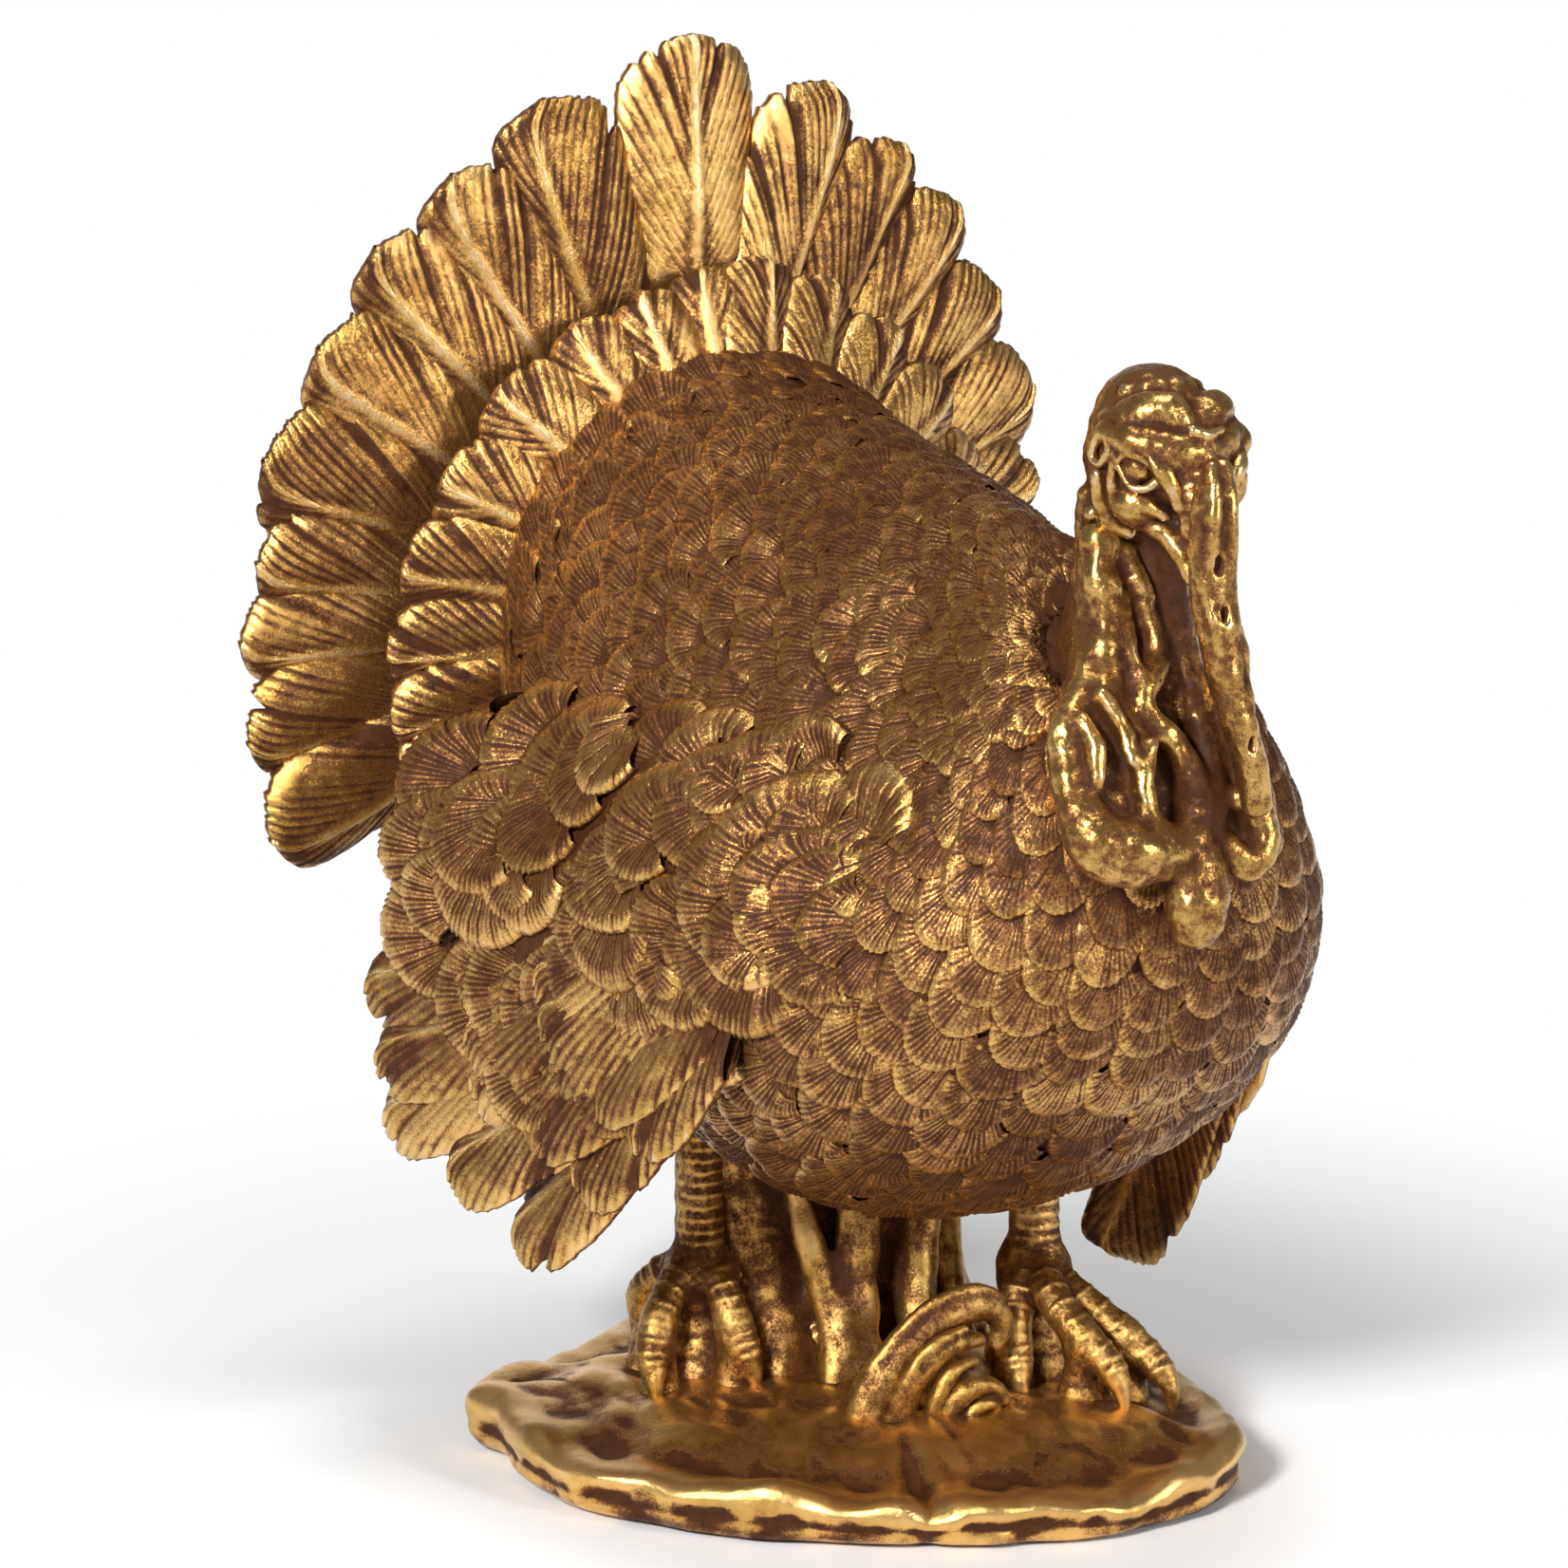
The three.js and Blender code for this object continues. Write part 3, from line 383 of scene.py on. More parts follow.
def scallop(barbs, low, up, plump=0.0, root_shade=0.4):
    """A round feather with its barbs spread like a fan: shares of its length and of its width, height
    in millimetres from its root at low to its tip at up, and relief with painted shade. A plump one is
    smoother, and painted shade, for the feather above overlapping it, takes the gold from its root up
    to the share root_shade of its length."""
    turn = np.linspace(-1, 1, 2 * barbs + 1)
    theta = (turn * math.radians(60))[:, None]
    groove = ((np.arange(len(turn)) % 2 == 0) * random.uniform(0.2, 1.35, len(turn)))[:, None]
    ragged = 1 - random.uniform(0, 0.02, len(turn))[:, None] - 0.012 * groove
    reach = SCALLOP_REACH
    radius = np.cos(theta * 0.92) ** 0.45 * reach * ragged
    along = radius * np.cos(theta)
    across = radius * np.sin(theta) / 1.4
    fine = groove * (1 - 0.6 * plump)
    cut = fine * smooth(0.2, 0.6, reach) * 0.4
    wide = 2 * across
    height = mix(low, up, smooth(0.2, 0.86, reach)) - (1.1 + 1.1 * plump) * wide ** 2
    height = height + random.uniform(-0.4, 0.5) * wide - cut - SCALLOP_DROP
    near = smooth(0.78, 1.0, reach)
    # Painted shade: dark from the root to about root_shade, under the feather above, and from
    # SCALLOP_SHADE in the crevice under the rim.
    gap, full = root_shade + 0.04 * plump, root_shade + 0.28 + 0.05 * plump
    relief = 0.1 + (0.5 - 0.06 * plump) * smooth(gap, full, reach) + (0.28 - 0.1 * plump) * near
    return along, across, height, relief - 0.46 * fine * (1 - 0.5 * near) - SCALLOP_SHADE


def body_scallop(patch, t, angle, length, width, up):
    """A feather on the body with the middle of its tip at a station and an angle."""
    barbs = max(5, round(width / SCALLOP_BARB))
    plump = float((1 - smooth(0.2, 0.55, t)) * (1 - smooth(-0.5, 0.25, math.cos(angle))))
    # Painted shade at the root reaches further on the top of the body than on the breast.
    root_shade = mix(0.13, 0.3, float(smooth(-0.4, 0.5, math.cos(angle))))
    along, across, height, relief = scallop(barbs, SCALLOP_ROOT, up + 0.4 * plump, plump, root_shade)
    step = 1e-3
    here = body_point(t, angle, 0.0)
    speed_t = np.linalg.norm(body_point(t - step, angle, 0.0) - here) / step
    speed_a = np.linalg.norm(body_point(t, angle + step, 0.0) - here) / step
    lean = random.uniform(-0.16, 0.16)
    run, side = (along - 1) * length, across * width
    s = run * math.cos(lean) - side * math.sin(lean)
    w = side * math.cos(lean) + run * math.sin(lean)
    points = body_point(t + s / speed_t, angle + w / speed_a, height)
    # Painted shade: feathers on the top of the body a little darker.
    relief = relief - 0.04 * max(math.cos(angle), 0.0)
    patch.add(points, grid_faces(*height.shape)[:, ::-1], relief, random.uniform())


def body_rows():
    """Stations of the rows of feathers from the neck to the rump, closer together where they start."""
    sides = np.linspace(0, 1, 400)
    line = body_point(sides, 2.1, 0.0)
    arc = walked(line)
    at, rows = 1.5, []
    while at < arc[-1] + 2:
        rows.append(np.interp(at, arc, sides))
        at += mix(6.6, 8.8, smooth(0, 100, at))
    return np.array(rows)


def build_body():
    breast, back = Patch(), Patch()
    add_skin(back)
    rows = body_rows()
    for order, t0 in enumerate(rows):
        turns = np.linspace(0, 2 * math.pi, 200)
        around = walked(body_point(t0, turns, 0.0))
        girth = around[-1]
        wide = mix(12.5, 15.5, smooth(0.0, 0.5, t0))
        count = max(8, round(girth / wide))
        place = (np.arange(count) + 0.5 * (order % 2) + random.uniform(-0.14, 0.14, count)) / count
        angle = np.interp(place % 1, around / girth, turns)
        before = rows[max(order - 1, 0)]
        after = rows[min(order + 1, len(rows) - 1)]
        gap = np.linalg.norm(body_point(after, angle, 0.0) - body_point(before, angle, 0.0), axis=-1)
        gap = gap / max(1, (order + 1 < len(rows)) + (order > 0))
        patch = breast if order < len(rows) * BREAST_SHARE else back
        for turn, room in zip(angle, gap):
            width = girth / count * random.uniform(1.34, 1.58)
            t = t0 + random.uniform(-0.16, 0.16) * (after - before) / 2
            body_scallop(patch, t, turn, max(2.1 * room, 0.72 * width), width, random.uniform(0.9, 1.9))
    for turn in np.arange(-2.3, 2.31, 0.22):
        for t, up in ((0.965, 1.8), (1.02, 2.8)):
            turned = turn + (0.11 if t > 1 else 0) + random.uniform(-0.03, 0.03)
            t += random.uniform(-0.012, 0.012)
            body_scallop(back, t, turned, 26, random.uniform(18, 22), up)
    feather_piece("breast_feathers", breast, "body")
    feather_piece("back_feathers", back, "body")


# Long feathers of tail and wings

# Pitch of their barbs and bulge of their edges, in millimetres.
BARB_PITCH, EDGE_BULGE = 1.9, 0.35
# Columns of points and splits on each side of the shaft.
BLADE_COLUMNS, BLADE_SPLITS = 8, 2


def outline_of(shares, width):
    """Half width at each share of the length, from rows of shares of the two."""
    at = np.linspace(0, 1, 240)
    rows = np.array(shares)
    half = np.interp(at, rows[:, 0], rows[:, 1])
    for _ in range(3):
        half = averaged(half, 4)
    half *= np.sqrt(np.clip((1 - at) / 0.035, 0, 1))
    return at, half * width / 2


def barbed_feather(
    patch, root, tip, face, width, shares, thickness, camber, roll, barb, groove, lean, tuck,
    shaft=1.0, root_relief=0.1,
):
    """A flat feather with a raised shaft and barb grooves on both faces, open only at its root."""
    columns = BLADE_COLUMNS
    root, tip, face = (np.asarray(v, float) for v in (root, tip, face))
    along = tip - root
    long = np.linalg.norm(along)
    along = along / long
    side = unit(np.cross(along, face))
    turn = math.radians(roll)
    side = side * math.cos(turn) + np.cross(along, side) * math.sin(turn)
    up = np.cross(side, along)
    at, half = outline_of(shares, width)

    def barb_angle(s):
        return math.radians(barb) * (1 - np.clip(s / (0.95 * long), 0, 1) ** 2)

    dense = np.linspace(0, 0.95 * long, 600)
    angle = barb_angle(dense)
    spread = np.sin(angle) + 0.3 * width * np.abs(np.gradient(angle, dense))
    metric = np.concatenate([[0], np.cumsum((spread[1:] + spread[:-1]) / 2 * np.diff(dense))])
    barbs = max(4, round(metric[-1] / BARB_PITCH))
    rows = 3 * barbs + 1
    start = np.interp(np.linspace(0, metric[-1], rows), metric, dense)
    angle = barb_angle(start)
    profile = np.where(np.arange(rows) % 3 == 0, 1.0, 0.12) * random.uniform(0.35, 1.2, rows)
    notch = np.zeros((2, rows))
    for flank in (0, 1):
        for _ in range(BLADE_SPLITS):
            where = random.uniform(0.45, 0.9) * rows
            notch[flank] += np.exp(-(((np.arange(rows) - where) / 1.3) ** 2)) * random.uniform(0.5, 1)
    share = np.linspace(0, 1, columns + 1)
    sheets = []
    for flank, sign in ((0, -1), (1, 1)):
        r = np.linspace(0, width * 1.7, 120)[None, :]
        s = start[:, None] + r * np.cos(angle)[:, None] + 0.004 * r * r
        w = r * np.sin(angle)[:, None]
        limit = np.interp(s / long, at, half, right=0.0) * (1 - sign * lean)
        first = np.argmax((w >= limit - 1e-6) & (s >= start[:, None] + 1e-6) | (s >= long), axis=1)
        end = np.minimum(r[0, first], width * 1.6)
        end = np.minimum(averaged(end, 2), end)
        end *= 1 - 0.10 * np.clip(notch[flank], 0, 1) + random.uniform(-0.012, 0.012, rows)
        r = end[:, None] * share[None, :]
        s = start[:, None] + r * np.cos(angle)[:, None] + 0.004 * r * r
        w = sign * r * np.sin(angle)[:, None]
        sheets.append((s, w, notch[flank]))
    (s_left, w_left, n_left), (s_right, w_right, n_right) = sheets
    s = np.concatenate([s_left[:, :0:-1], s_right], 1)
    w = np.concatenate([w_left[:, :0:-1], w_right], 1)
    place = w + lean * np.interp(s / long, at, half)
    flank = np.concatenate([-share[:0:-1], share])[None, :]
    edge = np.abs(flank)
    deep = np.repeat(np.column_stack([n_left, n_right]), (columns, columns + 1), 1)
    fade = smooth(0.02, 0.3, edge)
    spot = np.stack([s, 1.6 * w, 0 * s + random.uniform(0, 500)], -1)
    patchy = noise(spot.reshape(-1, 3), 13, 5).reshape(s.shape)
    lined = mix(0.45, 1.0, smooth(-0.45, 0.15, patchy + 0.5 * edge ** 2 - 0.2 * s / long))
    fade = fade * lined
    cut = profile[:, None] * groove * fade + deep * 0.8 * edge ** 1.5
    ridge = shaft * np.exp(-((w / 1.15) ** 2)) * (1 - 0.75 * s / long)
    trench = 0.35 * np.exp(-(((np.abs(w) - 2.3) / 1.0) ** 2)) * (1 - s / long)
    wave = 0.35 * np.sin(2 * math.pi * (s / 41 + random.uniform()) + w / 7)
    dome = camber * (0.5 - np.abs(place / (width / 2)) ** 2.4)
    tip_round = 0.9 * smooth(0.8, 1.0, edge)
    front = dome + wave + ridge - trench - cut - tip_round
    back = dome + wave - thickness - ridge * 0.5 + profile[:, None] * groove * 0.6 * fade + tip_round
    wall = (front[:, [0, -1]] + back[:, [0, -1]]) / 2
    loop_s = np.concatenate([s, s[:, -1:], s[:, ::-1], s[:, :1]], 1)
    edges = place[:, -1:] + EDGE_BULGE, place[:, :1] - EDGE_BULGE
    loop_w = np.concatenate([place, edges[0], place[:, ::-1], edges[1]], 1)
    loop_h = np.concatenate([front, wall[:, 1:], back[:, ::-1], wall[:, :1]], 1)
    points = root + loop_s[..., None] * along + loop_w[..., None] * side + loop_h[..., None] * up
    # Patina in the grooves, trench and splits; painted shade at the root, under the feathers above, and
    # on the flank that goes under the next feather; the back face is a little darker.
    patina_and_shade = (
        root_relief
        + (0.72 - root_relief) * smooth(0.02, 0.55, s / long)
        + 0.26 * smooth(0.9, 1.0, edge)
        - 0.24 * smooth(0.5, 1.0, tuck * flank)
        + 0.25 * np.exp(-((w / 1.0) ** 2)) * smooth(0.1, 0.4, s / long)
        - 0.35 * np.exp(-(((np.abs(w) - 2.4) / 1.0) ** 2)) * (1 - 0.6 * s / long)
        - 0.42 * profile[:, None] * fade
        + 0.10 * (1 - lined)
        - 0.7 * deep * edge
    )
    rim = np.full((len(s), 1), 0.42)
    relief = np.concatenate([patina_and_shade, rim, patina_and_shade[:, ::-1] - 0.06, rim], 1)
    patch.add(points, grid_faces(rows, loop_s.shape[1], closed=True), relief, random.uniform())


# Tail

# The fan's radius, the height of its middle and how far back it is.
FAN_RADIUS, FAN_HEIGHT, FAN_SETBACK = 127, 177, 66
# How much further back its sides are for their place, and its last feathers for their order.
FAN_SWEEP, FAN_STEP = 17, 4.2
FAN_HALF_TURN, FAN_ROOT = 115, 17
# Feathers from the middle of the fan to its side: turn and reach as shares.
FAN_SHARES = [
    [0, 1], [0.155, 0.945], [0.265, 0.905], [0.365, 0.89], [0.475, 0.855],
    [0.6, 0.85], [0.705, 0.82], [0.79, 0.84], [0.895, 0.85], [1, 0.87],
]
FAN_WIDTHS = [35, 31, 27, 27, 30, 33, 25, 24, 28, 29]
# Outlines of long feathers: share of the length and of the half width.
FAN_BLADE = [[0, 0.3], [0.35, 0.62], [0.7, 0.94], [0.86, 1], [0.93, 0.9], [0.98, 0.6], [1, 0.4]]
ROUND_BLADE = [[0, 0.45], [0.4, 0.85], [0.72, 1], [0.88, 0.9], [0.96, 0.62], [1, 0.36]]
WING_BLADE = [[0, 0.35], [0.3, 0.7], [0.7, 1], [0.92, 0.92], [1, 0.6]]


def sweep_at(x):
    return FAN_SWEEP * (x / FAN_RADIUS) ** 2


def fan_feather(patch, angle, inner, outer, front, back, lean=0.34, **form):
    """A feather of the fan, at an angle off its middle, from inner to outer and from back to front."""
    out = np.array([math.sin(angle), 0, math.cos(angle)])
    root = np.array([0, back, FAN_HEIGHT]) + out * inner
    tip = np.array([0, front, FAN_HEIGHT]) + out * outer
    root[1] += sweep_at(root[0])
    tip[1] += sweep_at(tip[0])
    way = np.sign(angle)
    barbed_feather(patch, root, tip, (0, -1, 0), roll=12 * way, lean=lean * way, tuck=way, **form)


def build_fan():
    fan = Patch()
    for order, (turn, reach) in enumerate(FAN_SHARES):
        setback = FAN_SETBACK + FAN_STEP * order / len(FAN_SHARES)
        for sign in ((1,) if order == 0 else (-1, 1)):
            fan_feather(
                fan, math.radians(sign * turn * FAN_HALF_TURN), FAN_ROOT, FAN_RADIUS * reach, setback,
                setback, width=FAN_WIDTHS[order], shares=FAN_BLADE, thickness=4.4, camber=4.2, barb=50,
                groove=0.5,
            )
    feather_piece("tail_feathers", fan, "tail_fan")


COVERT_TIP, COVERT_ROOT = 56, 44
# Tips of the coverts: angle off the middle of the fan, reach and width.
COVERTS = [
    [-113, 83, 23], [-104, 82, 22], [-93, 80, 23], [-79, 78, 26], [-63, 75, 27], [-45, 76, 26],
    [-28, 75, 21],
    [-15, 75, 19], [-3, 77, 19], [9, 79, 24], [24, 78, 24], [40, 77, 24], [56, 78, 25], [72, 79, 25],
    [88, 81, 25], [104, 82, 24],
]


def build_coverts():
    coverts = Patch()
    for turn, outer, width in COVERTS:
        fan_feather(
            coverts, math.radians(turn), outer * 0.5, outer, COVERT_TIP + random.uniform(-1.2, 1.2),
            COVERT_ROOT, width=width, shares=ROUND_BLADE, thickness=5.2, camber=2.8, barb=54,
            groove=0.5, lean=0.1, root_relief=0.3,
        )
    feather_piece("tail_covert_feathers", coverts, "tail_coverts")


# Wings

# The wing on each side: its name, and how much it stands out of the body as it goes back.
WINGS = {-1: ("right", 0.29), 1: ("left", 0.13)}
# How far its long feathers droop and splay, in degrees, and how much longer they get as they droop.
WING_HANG = {-1: (45, 18, 1), 1: (54, 8, 1.17)}
WING_LENGTH = 135
WRIST = np.array([58.0, -76, 131])
# Long feathers from the top down: shares of the wing's droop, of its splay and of its length.
WING_SHARES = [
    [0.04, 0.67, 0.97], [0.16, 0.83, 0.95], [0.28, 0.93, 0.98], [0.44, 0.98, 0.97],
    [0.57, 0.93, 1], [0.76, 1, 0.87], [1, 0.92, 0.81],
]


def wing_blade(patch, side, order, share, lift, **form):
    """A long feather of the wing: share is its share of the full length, lift how far out it lies."""
    droop_share, splay_share, length_share = WING_SHARES[order]
    droop, splay, longer = WING_HANG[side]
    droop, splay = math.radians(droop_share * droop), math.radians(splay_share * splay)
    full = WING_LENGTH * length_share * mix(1, longer, droop_share)
    level = math.cos(splay)
    heading = np.array([side * math.sin(splay), level * math.cos(droop), -level * math.sin(droop)])
    wrist = WRIST * (side, 1, 1)
    face = np.array([side, 0, 0])
    root = wrist + face * lift + heading * full * share * 0.25
    tip = wrist + heading * full * share + face * (lift - order * 3.6 / len(WING_SHARES))
    barbed_feather(patch, root, tip, face, **form)


# A map of the body's flanks: the place along and the height where it starts, and its size.
FLANK_LOW = np.array([-130.0, 50.0])
FLANK_CELLS = (216, 196)


def flank_map():
    """Half width of the body at places along and above it."""
    t = np.linspace(0, 1.05, 900)[:, None]
    angle = np.linspace(0.02, math.pi - 0.02, 700)[None, :]
    points = body_point(t, angle, 0.0).reshape(-1, 3)
    cell = np.round(points[:, 1:] - FLANK_LOW).astype(int)
    inside = (cell >= 0).all(1) & (cell < FLANK_CELLS).all(1)
    out = np.zeros(FLANK_CELLS)
    np.maximum.at(out, tuple(cell[inside].T), points[inside, 0])
    return out


FLANK = flank_map()
SHOULDER_MIDDLE, SHOULDER_REACH = np.array([-15.0, 140.0]), np.array([58.0, 44.0])


def flank_out(y, z):
    y, z = (np.clip(v - FLANK_LOW[k], 0, FLANK_CELLS[k] - 1.001) for k, v in enumerate((y, z)))
    i, j = y.astype(int), z.astype(int)
    f, g = y - i, z - j
    return mix(mix(FLANK[i, j], FLANK[i + 1, j], f), mix(FLANK[i, j + 1], FLANK[i + 1, j + 1], f), g)


def wing_out(y, z, splay=0.29):
    """How far to the side the wing's upper face lies, at a place along and above the body."""
    middle = ((y - SHOULDER_MIDDLE[0]) / SHOULDER_REACH[0]) ** 2
    middle = np.clip(middle + ((z - SHOULDER_MIDDLE[1]) / SHOULDER_REACH[1]) ** 2, 0, 1)
    flank = flank_out(y, z) + mix(0.8, 9.0, (1 - middle) ** 0.7)
    back, up = y - WRIST[1], z - WRIST[2]
    plate = 63.2 + splay * np.hypot(back, up) - 30 * smooth(*np.radians((2, 34)), np.arctan2(up, back))
    plate = plate - 40 * (1 - smooth(-84, -68, y))
    h = np.clip(0.5 + 0.5 * (plate - flank) / 7, 0, 1)
    return mix(flank, plate, h) + 7 * h * (1 - h)


# Feathers on the wing's shoulder, from the back to the front: one end of the rim, its middle and its
# other end, each as a place along the body and a height.
SHOULDER_FEATHERS = [
    [27, 139, 32, 130, 28, 123], [24, 125, 10, 120, 1, 123], [23, 141, 20, 133, 7, 130],
    [7, 129, -1, 125, -12, 128], [5, 148, 3, 139, -12, 141], [-11, 166, -11, 157, -25, 160],
    [-2, 156, -4, 150, -17, 148], [-22, 112, -35, 108, -47, 113], [-12, 120, -13, 113, -23, 109],
    [-14, 134, -14, 127, -17, 121], [-16, 141, -18, 133, -28, 130], [-18, 152, -15, 144, -17, 137],
    [-17, 124, -28, 118, -38, 122], [-22, 136, -27, 131, -38, 132], [-24, 151, -27, 144, -37, 141],
    [-34, 169, -24, 159, -24, 149], [-42, 144, -36, 136, -41, 127], [-35, 163, -36, 153, -46, 146],
    [-43, 174, -36, 167, -35, 161], [-38, 124, -42, 116, -53, 113], [-42, 166, -43, 161, -49, 157],
    [-52, 179, -43, 171, -42, 164], [-48, 137, -46, 131, -50, 124], [-54, 152, -48, 143, -53, 134],
    [-54, 161, -47, 152, -47, 145], [-51, 172, -51, 166, -55, 162], [-62, 182, -53, 176, -51, 170],
    [-60, 161, -55, 154, -56, 147], [-54, 131, -57, 117, -73, 120], [-58, 134, -61, 127, -69, 126],
    [-61, 148, -56, 138, -58, 131], [-69, 173, -55, 164, -55, 156], [-65, 148, -63, 141, -65, 135],
    [-69, 161, -61, 152, -63, 145], [-70, 169, -63, 163, -65, 158], [-71, 155, -68, 148, -70, 141],
    [-69, 139, -71, 128, -80, 126], [-78, 149, -75, 141, -80, 135], [-86, 172, -76, 172, -67, 168],
]


def shoulder_feather(patch, side, row, splay, rise=0.0):
    """A feather with a row like SHOULDER_FEATHERS, left out where it would leave the flank."""
    ends = np.array(row, float).reshape(3, 2)
    rim = ends[2] - ends[0]
    width = np.linalg.norm(rim) * 1.4
    rim = rim / np.linalg.norm(rim)
    ahead = np.array([rim[1], -rim[0]])
    if ahead @ (ends[1] - (ends[0] + ends[2]) / 2) < 0:
        ahead = -ahead
    barbs = max(6, round(width / SCALLOP_BARB))
    along, across, height, relief = scallop(barbs, -2.4, random.uniform(1, 2), root_shade=0.1)
    length = max(0.8 * width, 2.2 * (ends[1] - ends[0]) @ ahead)
    place = ends[1] + ((along - 1) * length)[..., None] * ahead + (across * width)[..., None] * rim
    if flank_out(place[..., 0], place[..., 1]).min() < 24:
        return
    out = wing_out(place[..., 0], place[..., 1], splay) + height + rise
    points = np.concatenate([(side * out)[..., None], place], -1)
    faces = grid_faces(*height.shape)
    turns = (ahead[0] * rim[1] - ahead[1] * rim[0]) * side > 0
    patch.add(points, faces if turns else faces[:, ::-1], relief, random.uniform())


def shoulder_top(y):
    """Height up to which the wing's shoulder shows above the body, at a place along it."""
    return np.minimum(182 - 0.25 * (y + 50), 178 - 0.5 * (y + 6))


def edge_feathers(patch, side, splay):
    """Feathers under the listed ones, in rows round the place where the wing folds."""
    fold = np.array([-76.0, 134.0])
    placed = np.array(SHOULDER_FEATHERS, float)[:, 2:4]
    for row, reach in enumerate(np.concatenate([[117.0, 105.0, 94.0], np.arange(86.0, 10.0, -8.0)])):
        broad = mix(13.0, 20.0, smooth(80, 96, reach))
        count = max(4, round(reach * math.radians(176) / broad))
        for i in range(count + 1):
            turn = mix(100, -76, (i + 0.5 * (row % 2)) / count) + random.uniform(-1.5, 1.5)
            turn = math.radians(turn)
            ahead = np.array([math.cos(turn), math.sin(turn)])
            tip = fold + reach * ahead * (1 + random.uniform(-0.012, 0.012))
            middle = (((tip - SHOULDER_MIDDLE) / SHOULDER_REACH) ** 2).sum()
            above = tip[1] - shoulder_top(tip[0])
            limit = 6 if tip[0] > 8 else 0
            if middle > 1.42 or above > limit or np.hypot(*(placed - tip).T).min() < 8.5:
                continue
            width = broad * random.uniform(1.45, 1.75) * (0.8 if above > 0 else 1)
            rim = np.array([-ahead[1], ahead[0]]) * width / 2.8
            back = tip - ahead * 3.0
            shoulder_feather(patch, side, [*(back - rim), *tip, *(back + rim)], splay, -2.0)


def shoulder_skin(patch, side, splay):
    """The wing's plain mass under its feathers."""
    turn = np.linspace(0, 2 * math.pi, 96, endpoint=False)[None, :]
    reach = np.concatenate([np.linspace(0, 0.97, 22), [1.0]])[:, None]
    y = SHOULDER_MIDDLE[0] + SHOULDER_REACH[0] * reach * np.cos(turn)
    z = SHOULDER_MIDDLE[1] + SHOULDER_REACH[1] * reach * np.sin(turn)
    deep = mix(1.8, 9.0, smooth(0.5, 0.86, reach)) + 16 * smooth(-1, 9, z - shoulder_top(y))
    out = np.where(reach < 0.99, wing_out(y, z, splay) - deep, flank_out(y, z) - 9)
    points = np.stack([side * out, y, z], -1)
    faces = grid_faces(*y.shape, closed=True)
    patch.add(points, faces[:, ::-1] if side > 0 else faces, 0.1, 0.3)


def build_wing(side):
    name, splay = WINGS[side]
    wing = Patch()
    for order in range(len(WING_SHARES)):
        for layer, share in enumerate((1, 0.76, 0.56)):
            wing_blade(
                wing, side, order, share, layer * 2.6, width=22, shares=WING_BLADE, thickness=3.4,
                camber=2.2, roll=-9 * side - (36 if side > 0 and order > 3 else 0), lean=-0.42 * side,
                tuck=-side, barb=42, groove=0.55, shaft=0.45, root_relief=0.34,
            )
    shoulder_skin(wing, side, splay)
    edge_feathers(wing, side, splay)
    for row in SHOULDER_FEATHERS:
        shoulder_feather(wing, side, row, splay)
    feather_piece(name + "_wing_feathers", wing, name + "_wing")


def plain(name, colour, metallic, roughness, size, distance):
    """A plain material with a fine grain."""
    look = Shading(name)
    grain = look.add("TexNoise", "Fac", {"Scale": 1 / (size * MM), "Vector": look.place()})
    look.feed(look.shader, {
        "Base Color": (*colour, 1),
        "Metallic": metallic,
        "Roughness": roughness,
        "Normal": look.add("Bump", "Normal", {"Distance": distance * MM, "Height": grain}),
    })
    return look.material


felt = plain("felt", (0.03, 0.025, 0.02), 0.0, 0.95, 0.4, 0.3)
steel = plain("steel", (0.55, 0.55, 0.56), 1.0, 0.35, 0.3, 0.02)
for node, material in (("ground_felt", felt), ("right_leg_rod", steel), ("left_leg_rod", steel)):
    mesh = bpy.data.objects[node].data
    mesh.materials.clear()
    mesh.materials.append(material)

build_body()
build_fan()
build_coverts()
for side in WINGS:
    build_wing(side)


# Clay: forms joined and cut with soft edges on a grid of cells, then skinned

def soft_min(a, b, blend):
    h = np.clip(0.5 + 0.5 * (b - a) / blend, 0, 1)
    return mix(b, a, h) - blend * h * (1 - h)


